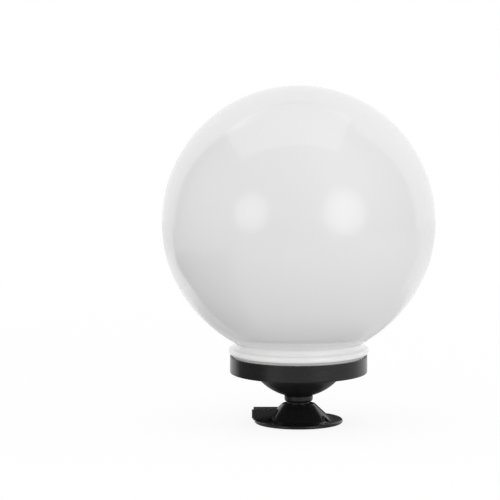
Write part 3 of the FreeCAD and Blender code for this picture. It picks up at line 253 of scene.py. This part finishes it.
def finish(name, **sockets):
    """A material with its plain sockets set, and the place on the piece that patterns follow."""
    material = bpy.data.materials.new(name)
    material.use_nodes = True
    shader = material.node_tree.nodes["Principled BSDF"]
    for socket, value in sockets.items():
        shader.inputs[socket.replace("_", " ")].default_value = value
    return material, Value(material.node_tree.nodes.new("ShaderNodeTexCoord").outputs["Object"])


def paint(material, socket, value):
    """Lets a pattern drive one of the material's sockets."""
    shader = material.node_tree.nodes["Principled BSDF"]
    material.node_tree.links.new(value.socket, shader.inputs[socket])


def grain(place, scale, stretch=(1.0, 1.0, 1.0), detail=3.0):
    """Cloudy noise, stretched along the piece's own directions."""
    spread = place.add("ShaderNodeMapping", {}, {"Vector": place, "Scale": stretch})
    return place.add("ShaderNodeTexNoise", {}, {"Vector": spread, "Scale": scale, "Detail": detail})


def relief(place, height, depth):
    """A fine relief of some depth in millimetres, as a surface direction."""
    return place.add("ShaderNodeBump", {}, {"Height": height, "Distance": depth * MM})


def dress(material, *nodes):
    """Gives CAD nodes their finish."""
    for node in nodes:
        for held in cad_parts[node].material_slots:
            held.material = material


gloss_black, place = finish("gloss_black_moulding", Specular_IOR_Level=0.5)
cloud = grain(place, 60.0)
specks = grain(place, 900.0, detail=2.0).between(0.62, 0.74)
paint(gloss_black, "Base Color",
      specks.mix((0.0082, 0.0082, 0.0085, 1.0), (0.0115, 0.0115, 0.0118, 1.0)))
paint(gloss_black, "Roughness", 0.13 + cloud * 0.10 + specks * 0.18)
paint(gloss_black, "Normal", relief(place, grain(place, 220.0), 0.02))
dress(gloss_black, "foot", "cable_cover")


def turned(corners, steps=96):
    """A closed outline, each corner a radius, a height and perhaps a rounding, spun upright."""
    shell = bmesh.new()
    spots = [shell.verts.new((corner[0] * MM, 0.0, corner[1] * MM)) for corner in corners]
    for first, second in zip(spots, spots[1:] + spots[:1]):
        shell.edges.new((first, second))
    for vertex, corner in zip(spots, corners):
        if len(corner) == 3:
            bmesh.ops.bevel(shell, geom=[vertex], offset=corner[2] * MM, affect="VERTICES",
                            segments=5, profile=0.5, material=-1)
    bmesh.ops.spin(shell, geom=shell.verts[:] + shell.edges[:], cent=(0.0, 0.0, 0.0),
                   axis=(0.0, 0.0, 1.0), dvec=(0.0, 0.0, 0.0), angle=math.tau, steps=steps,
                   use_merge=True)
    return shell


def keep(name, shell, body, slot, material, *replaced):
    """Makes a piece of a mesh, closed, facing outwards, riding on its body."""
    bmesh.ops.remove_doubles(shell, verts=shell.verts, dist=1e-6)
    bmesh.ops.recalc_face_normals(shell, faces=shell.faces)
    for face in shell.faces:
        face.smooth = True
    mesh = bpy.data.meshes.new(name)
    shell.to_mesh(mesh)
    shell.free()
    mesh.set_sharp_from_angle(angle=math.radians(32.0))
    mesh.materials.append(material)
    piece = bpy.data.objects.new(name, mesh)
    bpy.context.collection.objects.link(piece)
    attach(piece, body)
    if replaced:
        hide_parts(*replaced)


def carved(shell, tool):
    """A closed mesh with another cut out of it."""
    pair = []
    for name, form in (("blank", shell), ("cutter", tool)):
        mesh = bpy.data.meshes.new(name)
        bmesh.ops.recalc_face_normals(form, faces=form.faces)
        form.to_mesh(mesh)
        form.free()
        pair.append(bpy.data.objects.new(name, mesh))
        bpy.context.collection.objects.link(pair[-1])
    cut = pair[0].modifiers.new("cut", "BOOLEAN")
    cut.operation = "DIFFERENCE"
    cut.object = pair[1]
    carving = pair[0].evaluated_get(bpy.context.evaluated_depsgraph_get())
    left = bmesh.new()
    left.from_mesh(carving.data)
    for thing in pair:
        bpy.data.meshes.remove(thing.data)
    return left


def on_circle(radius, turns, height):
    """Places on a level circle about the axis, at some turns in degrees."""
    return [(radius * math.cos(math.radians(turn)), radius * math.sin(math.radians(turn)), height)
            for turn in turns]


SHOULDER_RADIUS, SHOULDER_HEIGHT, FLARE, FLARE_ROUNDING = 18.93, 12.65, 28.82, 2.2
SKIRT_EDGE, DISC_TOP, ROOTED, INNER_TOP, INNER_FOOT = 31.4, 3.2, 0.3, 17.5, 20.0
skirt = turned([(SHOULDER_RADIUS, SHOULDER_HEIGHT), (FLARE, DISC_TOP + 0.03, FLARE_ROUNDING),
                (SKIRT_EDGE, DISC_TOP - 0.01), (SKIRT_EDGE, DISC_TOP - ROOTED),
                (INNER_FOOT, DISC_TOP - ROOTED), (INNER_TOP, SHOULDER_HEIGHT - 0.35)], 192)
HOLE_RING, POCKET, POCKET_DEPTH = 27.5, 3.7, 20.0
GAP_END, GAP_LENGTH, GAP_WIDTH = -45.0, 30.0, 16.12
pockets = bmesh.new()
for x, y, z in on_circle(HOLE_RING, (90.0, 210.0, 330.0), POCKET_DEPTH / 2):
    bmesh.ops.create_cone(pockets, cap_ends=True, segments=40, radius1=POCKET * MM,
                          radius2=POCKET * MM, depth=POCKET_DEPTH * MM,
                          matrix=Matrix.Translation((x * MM, y * MM, z * MM)))
cover_gap = (Matrix.Translation(((GAP_END + GAP_LENGTH / 2) * MM, 0.0, POCKET_DEPTH / 2 * MM))
             @ Matrix.Diagonal((GAP_LENGTH * MM, GAP_WIDTH * MM, POCKET_DEPTH * MM, 1.0)))
bmesh.ops.create_cube(pockets, size=1.0, matrix=cover_gap)
keep("bell_skirt", carved(skirt, pockets), "foot_mount", "black_moulding", gloss_black)


# Cable cover's screw and grommet: a small zinc-plated pan-head screw with a cross recess, and a
# soft black rubber ring that the supply cord is pushed through.
def thread(shell, radius, depth, low, high, pitch, steps=16):
    """A helical ridge on a shank, from low to high, with its crest at the radius."""
    root, flank_share, crest_share = radius - depth * 1.3, 0.42, 0.07
    corners = [(root, -flank_share), (radius, -crest_share), (radius, crest_share),
               (root, flank_share)]
    rim = shell.faces.new([shell.verts.new((r * MM, 0.0, (low + (0.5 + lift) * pitch) * MM))
                           for r, lift in corners])
    turns = max(1, round((high - low) / pitch - 1.0))
    bmesh.ops.spin(shell, geom=[rim, *rim.edges, *rim.verts], cent=(0.0, 0.0, 0.0),
                   axis=(0.0, 0.0, 1.0), dvec=(0.0, 0.0, pitch * MM / steps),
                   angle=math.tau * turns, steps=steps * turns)


def vertices(items):
    """The vertices among some elements of a mesh."""
    return [item for item in items if isinstance(item, bmesh.types.BMVert)]


def screw(head, height, shank, length, pitch, recess="cross"):
    """A screw standing on its head's underside at nought, with a cross recess or a slot."""
    depth = pitch * 0.45
    core = shank - depth
    shell = turned([(0.0, height), (head * 0.62, height, height * 0.25),
                    (head, height * 0.55, height * 0.3), (head, 0.0, 0.06), (core, 0.0),
                    (core, -length + core * 0.7), (core * 0.35, -length), (0.0, -length)], steps=40)
    bmesh.ops.remove_doubles(shell, verts=shell.verts, dist=1e-6)

    # The recess: its arms are cut into the flat top, sunk and drawn in towards their bottom.
    wide, slim, recess_depth, taper = head * 0.52 * MM, head * 0.11 * MM, height * 0.62 * MM, 0.72
    top = height * 0.98 * MM
    for turn_x, turn_y, reach in ((1, 0, slim), (0, 1, slim), (1, 0, wide), (0, 1, wide)):
        for way in (-1.0, 1.0):
            upper = [face for face in shell.faces if face.calc_center_median().z > top]
            geometry = {item for face in upper for item in (face, *face.edges, *face.verts)}
            bmesh.ops.bisect_plane(shell, geom=list(geometry), dist=1e-7,
                                   plane_co=(turn_x * way * reach, turn_y * way * reach, 0.0),
                                   plane_no=(turn_x, turn_y, 0.0))
    cross = []
    for face in shell.faces:
        middle = face.calc_center_median()
        x, y = abs(middle.x), abs(middle.y)
        arm = x < slim and y < wide or (recess == "cross" and y < slim and x < wide)
        if middle.z > top and arm:
            cross.append(face)
    lowered = vertices(bmesh.ops.extrude_face_region(shell, geom=cross)["geom"])
    bmesh.ops.delete(shell, geom=cross, context="FACES_ONLY")
    bmesh.ops.scale(shell, verts=lowered, vec=(taper, taper, 1.0))
    bmesh.ops.translate(shell, verts=lowered, vec=(0.0, 0.0, -recess_depth))
    thread(shell, shank, depth, -length + core, -0.3, pitch)
    return shell


def copies(shell, spots):
    """Sets one shape down at each of some places, in millimetres."""
    first = shell.verts[:] + shell.edges[:] + shell.faces[:]
    for x, y, z in spots[1:]:
        more = bmesh.ops.duplicate(shell, geom=first)["geom"]
        bmesh.ops.translate(shell, verts=vertices(more), vec=(x * MM, y * MM, z * MM))
    x, y, z = spots[0]
    bmesh.ops.translate(shell, verts=vertices(first), vec=(x * MM, y * MM, z * MM))
    return shell


zinc, place = finish("zinc_plate", Metallic=1.0)
stain = grain(place, 90.0)
brushed = grain(place, 700.0, (1.0, 1.0, 6.0))
paint(zinc, "Base Color", stain.mix((0.56, 0.57, 0.58, 1.0), (0.70, 0.69, 0.66, 1.0)))
paint(zinc, "Roughness", 0.26 + brushed * 0.20)
paint(zinc, "Normal", relief(place, brushed, 0.01))
cover_screw = screw(head=2.3, height=1.2, shank=1.2, length=10.2, pitch=0.9)
keep("cover_screw_fine", copies(cover_screw, [(-27.2, -3.8, 11.0)]),
     "foot_mount", "zinc_steel", zinc, "cover_screw")

rubber, place = finish("black_rubber", Specular_IOR_Level=0.35)
bloom = grain(place, 160.0)
paint(rubber, "Base Color", bloom.mix((0.018, 0.018, 0.018, 1.0), (0.045, 0.045, 0.044, 1.0)))
paint(rubber, "Roughness", 0.62 + bloom * 0.2)
paint(rubber, "Normal", relief(place, grain(place, 1400.0), 0.03))
dress(rubber, "cable_grommet", "bowl_seal")


# Ball joint: a hollow zinc-plated stud, threaded below for its hexagon nut, carries a smooth
# acetal ball that turns on it under a pressed-on ring.
STUD_OUT, STUD_IN, STUD_FOOT, STUD_TOP = 3.9, 2.6, 4.0, 31.0
THREAD_DEPTH, THREAD_TOP, SHOULDER, SHOULDER_FOOT, SHOULDER_TOP = 0.45, 9.9, 6.5, 12.6, 13.4
stud = turned([(STUD_IN, STUD_FOOT), (STUD_OUT - THREAD_DEPTH, STUD_FOOT, 0.2),
               (STUD_OUT - THREAD_DEPTH, THREAD_TOP), (STUD_OUT, THREAD_TOP + 0.4),
               (STUD_OUT, SHOULDER_FOOT), (SHOULDER, SHOULDER_FOOT, 0.2),
               (SHOULDER, SHOULDER_TOP, 0.2), (STUD_OUT, SHOULDER_TOP), (STUD_OUT, STUD_TOP, 0.3),
               (STUD_IN, STUD_TOP)], 64)
thread(stud, STUD_OUT, THREAD_DEPTH, STUD_FOOT + 0.1, THREAD_TOP, pitch=0.75, steps=40)
keep("ball_stud_fine", stud, "foot_mount", "zinc_steel", zinc, "ball_stud")
dress(zinc, "stud_washer", "stud_nut", "ball_retaining_ring")

acetal, place = finish("black_acetal", Specular_IOR_Level=0.5)
rings = grain(place, 260.0, (0.05, 0.05, 14.0), 2.0)
paint(acetal, "Base Color", rings.mix((0.030, 0.030, 0.032, 1.0), (0.052, 0.052, 0.054, 1.0)))
paint(acetal, "Roughness", 0.24 + rings * 0.16)
paint(acetal, "Normal", relief(place, rings, 0.008))
dress(acetal, "swivel_ball")


# Dish, clamp nut and collar: black mouldings, the dish satin and the other two glossier with fine
# turned lines. Three screws join dish and collar, and the nut squeezes the slotted socket under the
# dish round the ball.
satin_black, place = finish("satin_black_moulding", Specular_IOR_Level=0.4)
cloud = grain(place, 45.0)
speck = grain(place, 1100.0, detail=2.0).between(0.60, 0.72)
paint(satin_black, "Base Color",
      speck.mix((0.0065, 0.0065, 0.0068, 1.0), (0.018, 0.018, 0.0185, 1.0)))
paint(satin_black, "Roughness", 0.36 + cloud * 0.12 + speck * 0.15)
paint(satin_black, "Normal", relief(place, grain(place, 400.0), 0.015))
dress(satin_black, "bowl")

lined_black, place = finish("lined_black_moulding", Specular_IOR_Level=0.5)
lines = grain(place, 320.0, (0.012, 0.012, 9.0), 2.0)
speck = grain(place, 1100.0, detail=2.0).between(0.60, 0.72)
paint(lined_black, "Base Color",
      (speck * 0.5 + lines * 0.5).mix((0.0035, 0.0035, 0.0037, 1.0), (0.010, 0.010, 0.0105, 1.0)))
paint(lined_black, "Roughness", 0.16 + lines * 0.14 + speck * 0.1)
paint(lined_black, "Normal", relief(place, lines, 0.05))
dress(lined_black, "collar", "clamp_nut")
BOWL_SCREW_RING, BOWL_SCREW_SEAT = 29.5, 47.1
tapping_screw = {"head": 2.8, "height": 1.7, "shank": 1.5, "pitch": 1.0}
keep("bowl_screws_fine", copies(screw(length=9.5, **tapping_screw),
                                on_circle(BOWL_SCREW_RING, (30.0, 150.0, 270.0), BOWL_SCREW_SEAT)),
     "lamp_head", "zinc_steel", zinc, "bowl_screws")


# Bridge and lampholder: a bent zinc-plated strip screwed across the collar's floor carries the
# glazed ceramic lampholder, with its brass sleeve and sprung centre contact.
dress(zinc, "holder_bridge")
for name, length, aside, seat in (("bridge_screws", 4.0, 37.0, 48.6),
                                  ("holder_screws", 13.0, 9.0, 66.5)):
    keep(f"{name}_fine", copies(screw(length=length, **tapping_screw),
                                [(-aside, 0.0, seat), (aside, 0.0, seat)]),
         "lamp_head", "zinc_steel", zinc, name)

glaze, place = finish("glazed_ceramic", Coat_Roughness=0.06, Coat_IOR=1.5)
cloud = grain(place, 70.0)
pits = grain(place, 800.0, detail=2.0).between(0.66, 0.74)
paint(glaze, "Base Color",
      (pits * 0.8 + cloud * 0.2).mix((0.83, 0.81, 0.76, 1.0), (0.60, 0.56, 0.49, 1.0)))
paint(glaze, "Roughness", 0.22 + cloud * 0.14)
paint(glaze, "Coat Weight", 0.9 - pits * 0.6)
paint(glaze, "Normal", relief(place, grain(place, 150.0), 0.05))
dress(glaze, "lampholder_base", "lampholder_shell")

brass, place = finish("brass", Metallic=1.0)
tarnish = grain(place, 110.0)
drawn = grain(place, 600.0, (1.0, 1.0, 8.0))
paint(brass, "Base Color", tarnish.mix((0.74, 0.56, 0.24, 1.0), (0.52, 0.36, 0.15, 1.0)))
paint(brass, "Roughness", 0.24 + drawn * 0.18 + tarnish * 0.08)
paint(brass, "Normal", relief(place, drawn, 0.01))


def edison(crest, depth, low, high, steps=48):
    """The rounded thread of a lamp cap: one pitch of its wave, spun up in a helix and cut level."""
    pitch, points = 3.63, 10
    shell = bmesh.new()
    spots = []
    for step in range(points + 1):
        radius = crest - depth * (0.5 - 0.5 * math.cos(math.tau * step / points))
        height = low + pitch * (step / points - 1.0)
        spots.append(shell.verts.new((radius * MM, 0.0, height * MM)))
    for first, second in zip(spots, spots[1:]):
        shell.edges.new((first, second))
    turns = math.ceil((high - low) / pitch) + 1
    bmesh.ops.spin(shell, geom=shell.verts[:] + shell.edges[:], cent=(0.0, 0.0, 0.0),
                   axis=(0.0, 0.0, 1.0), dvec=(0.0, 0.0, pitch * MM / steps),
                   angle=math.tau * turns, steps=steps * turns)
    bmesh.ops.remove_doubles(shell, verts=shell.verts, dist=2e-6)
    for height, inner in ((low, True), (high, False)):
        everything = shell.verts[:] + shell.edges[:] + shell.faces[:]
        bmesh.ops.bisect_plane(shell, geom=everything, dist=1e-7,
                               plane_co=(0.0, 0.0, height * MM), plane_no=(0.0, 0.0, 1.0),
                               clear_inner=inner, clear_outer=not inner)
    return shell


SLEEVE_WALL, SLEEVE_FOOT = 0.30, 67.2
FLOOR, FLOOR_WALL, FLOOR_EDGE, FLOOR_HOLE = 66.5, 0.4, 13.9, 12.0
sleeve = edison(crest=14.05, depth=0.30, low=SLEEVE_FOOT, high=91.0)
bmesh.ops.recalc_face_normals(sleeve, faces=sleeve.faces)
bmesh.ops.solidify(sleeve, geom=sleeve.faces[:], thickness=SLEEVE_WALL * MM)
keep("thread_sleeve_fine", sleeve, "lamp_head", "brass", brass, "thread_sleeve")
keep("sleeve_floor", turned([(FLOOR_HOLE, FLOOR), (FLOOR_EDGE, FLOOR, 0.15),
                             (FLOOR_EDGE, SLEEVE_FOOT + 0.1),
                             (FLOOR_EDGE - SLEEVE_WALL, SLEEVE_FOOT + 0.1),
                             (FLOOR_EDGE - FLOOR_WALL, FLOOR + FLOOR_WALL),
                             (FLOOR_HOLE, FLOOR + FLOOR_WALL)]),
     "lamp_head", "brass", brass)
dress(brass, "centre_contact", "terminal_clamps")


# Terminal block and leads: a natural nylon block with two brass clamps, from which a brown and a
# blue lead rise to the lampholder.
nylon, place = finish("natural_nylon", Subsurface_Weight=0.15,
                      Subsurface_Radius=(0.002, 0.002, 0.0015))
cloud = grain(place, 180.0)
paint(nylon, "Base Color", cloud.mix((0.80, 0.78, 0.70, 1.0), (0.72, 0.69, 0.60, 1.0)))
paint(nylon, "Roughness", 0.42 + cloud * 0.15)
paint(nylon, "Normal", relief(place, grain(place, 900.0), 0.02))
dress(nylon, "terminal_block")
clamp_screw = screw(head=1.0, height=0.9, shank=0.95, length=2.2, pitch=0.5, recess="slot")
keep("terminal_screws_fine", copies(clamp_screw, [(x, y, 42.0) for x in (-5.0, 5.0)
                                                  for y in (14.91, 20.11)]),
     "lamp_head", "zinc_steel", zinc, "terminal_screws")
block_screw = screw(head=1.0, height=0.9, shank=0.9, length=9.7, pitch=0.6)
keep("block_screw_fine", copies(block_screw, [(0.0, 17.51, 43.0)]),
     "lamp_head", "zinc_steel", zinc)

for colour, dark, light, lead in (
        ("brown", (0.15, 0.055, 0.022, 1.0), (0.21, 0.085, 0.038, 1.0), "lead_live"),
        ("blue", (0.020, 0.115, 0.42, 1.0), (0.035, 0.16, 0.52, 1.0), "lead_neutral")):
    sheath, place = finish(f"{colour}_insulation", Specular_IOR_Level=0.5)
    drag = grain(place, 500.0, (1.0, 1.0, 0.15))
    paint(sheath, "Base Color", drag.mix(dark, light))
    paint(sheath, "Roughness", 0.30 + drag * 0.18)
    paint(sheath, "Normal", relief(place, drag, 0.02))
    dress(sheath, lead)


# Bulb: a plated screw cap with a black glass insulator and a soldered tip, a matt white flared
# housing and a frosted dome.
cap_metal, place = finish("plated_cap", Metallic=1.0)
scuff = grain(place, 300.0, (1.0, 1.0, 3.0))
paint(cap_metal, "Base Color", scuff.mix((0.78, 0.78, 0.77, 1.0), (0.62, 0.61, 0.59, 1.0)))
paint(cap_metal, "Roughness", 0.20 + scuff * 0.22)
paint(cap_metal, "Normal", relief(place, scuff, 0.01))
CAP_FOOT, THREADED_FROM, THREADED_TO, CAP_TOP = 72.5, 75.2, 92.4, 94.5
CAP_LAP, CAP_RIM = 0.2, 13.1
cap = edison(crest=13.05, depth=0.75, low=THREADED_FROM, high=THREADED_TO)
bmesh.ops.holes_fill(cap, edges=[edge for edge in cap.edges if edge.is_boundary])
keep("bulb_cap_thread", cap, "bulb", "bulb_cap_metal", cap_metal, "bulb_cap")
keep("bulb_cap_foot", turned([(0.0, CAP_FOOT), (11.7, CAP_FOOT, 0.5),
                              (12.35, THREADED_FROM + CAP_LAP), (0.0, THREADED_FROM + CAP_LAP)]),
     "bulb", "bulb_cap_metal", cap_metal)
keep("bulb_cap_rim", turned([(0.0, THREADED_TO - CAP_LAP), (12.5, THREADED_TO - CAP_LAP),
                             (CAP_RIM, THREADED_TO + 0.6, 0.3), (CAP_RIM, CAP_TOP),
                             (0.0, CAP_TOP)]),
     "bulb", "bulb_cap_metal", cap_metal)
dress(zinc, "bulb_tip")

vitrite, place = finish("black_glass", Coat_Weight=0.6, Coat_Roughness=0.05)
swirl = grain(place, 240.0)
paint(vitrite, "Base Color", swirl.mix((0.020, 0.016, 0.022, 1.0), (0.055, 0.040, 0.050, 1.0)))
paint(vitrite, "Roughness", 0.12 + swirl * 0.12)
dress(vitrite, "bulb_insulator")

white_shell, place = finish("white_housing", Specular_IOR_Level=0.5)
fine = grain(place, 1300.0, detail=2.0)
haze = grain(place, 50.0)
paint(white_shell, "Base Color", haze.mix((0.83, 0.83, 0.82, 1.0), (0.78, 0.78, 0.765, 1.0)))
paint(white_shell, "Roughness", 0.42 + fine * 0.15)
paint(white_shell, "Normal", relief(place, fine, 0.03))
dress(white_shell, "bulb_housing")

frosted, place = finish("frosted_dome", Subsurface_Weight=0.2,
                        Subsurface_Radius=(0.004, 0.004, 0.0035))
haze = grain(place, 40.0)
paint(frosted, "Base Color", haze.mix((0.90, 0.90, 0.88, 1.0), (0.86, 0.86, 0.84, 1.0)))
paint(frosted, "Roughness", 0.50 + haze * 0.12)
paint(frosted, "Normal", relief(place, grain(place, 1500.0), 0.02))
dress(frosted, "bulb_dome")


# Globe: blown opal acrylic, glossy outside, bonded along its lower edge to a moulded neck of the
# same acrylic with a round stop flange, a spigot and three twist-lock lugs.
opal, place = finish("opal_acrylic", Coat_Weight=1.0, Coat_Roughness=0.03, Coat_IOR=1.49,
                     Specular_IOR_Level=0.3)
flow = grain(place, 9.0, (1.0, 1.0, 0.35))
mist = grain(place, 120.0)
paint(opal, "Base Color", flow.mix((0.855, 0.857, 0.857, 1.0), (0.872, 0.872, 0.870, 1.0)))
paint(opal, "Roughness", 0.32 + mist * 0.10)
paint(opal, "Normal", relief(place, grain(place, 22.0, detail=1.0), 0.012))

# Painted light: the neck is the ball's acrylic in a lighter colour, standing in for light that
# scatters through it into the shaded crease and flange.
opal_neck_painted_light, place = finish("opal_neck_painted_light", Coat_Weight=1.0, Coat_Roughness=0.03, Coat_IOR=1.49,
                          Specular_IOR_Level=0.3)
flow = grain(place, 30.0, (1.0, 1.0, 0.35))
paint(opal_neck_painted_light, "Base Color", flow.mix((0.930, 0.930, 0.928, 1.0), (0.945, 0.945, 0.943, 1.0)))
paint(opal_neck_painted_light, "Roughness", 0.30 + flow * 0.12)
paint(opal_neck_painted_light, "Normal", relief(place, grain(place, 60.0, detail=1.0), 0.010))

RADIUS, WALL, MIDDLE, NECK, NECK_END, BORE = 120.0, 2.4, 177.97, 56.5, 72.1, 52.6
bore_height = MIDDLE - math.sqrt((RADIUS - WALL) ** 2 - BORE ** 2)
ball = bmesh.new()
ends = []
for radius, height in ((NECK, NECK_END), (BORE, bore_height)):
    start = ball.verts.new((radius * MM, 0.0, height * MM))
    swing = math.pi - math.atan2(radius, MIDDLE - height)
    bmesh.ops.spin(ball, geom=[start], cent=(0.0, 0.0, MIDDLE * MM), axis=(0.0, 1.0, 0.0),
                   dvec=(0.0, 0.0, 0.0), angle=-swing, steps=84)
    ends.append(start)
low = ball.verts.new((BORE * MM, 0.0, NECK_END * MM))
ball.edges.new((ends[0], low))
ball.edges.new((low, ends[1]))
bmesh.ops.spin(ball, geom=ball.verts[:] + ball.edges[:], cent=(0.0, 0.0, 0.0), axis=(0.0, 0.0, 1.0),
               dvec=(0.0, 0.0, 0.0), angle=math.tau, steps=168, use_merge=True)
keep("globe_blown", ball, "diffuser", "opal_acrylic", opal, "globe")

SPIGOT, SPIGOT_END, FLANGE, FLANGE_FOOT, FLANGE_TOP = 55.0, 50.0, 61.75, 61.5, 67.2
neck = turned([(BORE, SPIGOT_END), (SPIGOT, SPIGOT_END, 0.4), (SPIGOT, FLANGE_FOOT),
               (FLANGE, FLANGE_FOOT, 2.6), (FLANGE, FLANGE_TOP, 2.6), (NECK, FLANGE_TOP, 2.4),
               (NECK, NECK_END, 1.5), (NECK + 1.5, NECK_END + 0.83), (NECK + 0.6, NECK_END + 1.2),
               (BORE, NECK_END)], 168)
LUG_ROOT, LUG_END, LUG_FOOT, LUG_TOP, LUG_SWEEP = 54.7, 57.7, 52.4, 55.2, 30.0
for turn in (0.0, 120.0, 240.0):
    corners = ((LUG_ROOT, LUG_FOOT), (LUG_END, LUG_FOOT), (LUG_END, LUG_TOP), (LUG_ROOT, LUG_TOP))
    lug = neck.faces.new([neck.verts.new((r * MM, 0.0, z * MM)) for r, z in corners])
    bmesh.ops.rotate(neck, verts=lug.verts[:], cent=(0.0, 0.0, 0.0),
                     matrix=Matrix.Rotation(math.radians(turn - LUG_SWEEP / 2), 3, "Z"))
    bmesh.ops.spin(neck, geom=[lug, *lug.edges, *lug.verts], cent=(0.0, 0.0, 0.0),
                   axis=(0.0, 0.0, 1.0), dvec=(0.0, 0.0, 0.0), angle=math.radians(LUG_SWEEP),
                   steps=16)
keep("globe_neck_moulded", neck, "diffuser", "opal_acrylic", opal_neck_painted_light, "globe_neck")

silicone, place = finish("pale_silicone", Subsurface_Weight=0.2,
                         Subsurface_Radius=(0.002, 0.002, 0.002))
dust = grain(place, 200.0)
paint(silicone, "Base Color", dust.mix((0.80, 0.80, 0.78, 1.0), (0.70, 0.70, 0.68, 1.0)))
paint(silicone, "Roughness", 0.38 + dust * 0.15)
paint(silicone, "Normal", relief(place, grain(place, 1200.0), 0.02))
dress(silicone, "globe_seal")
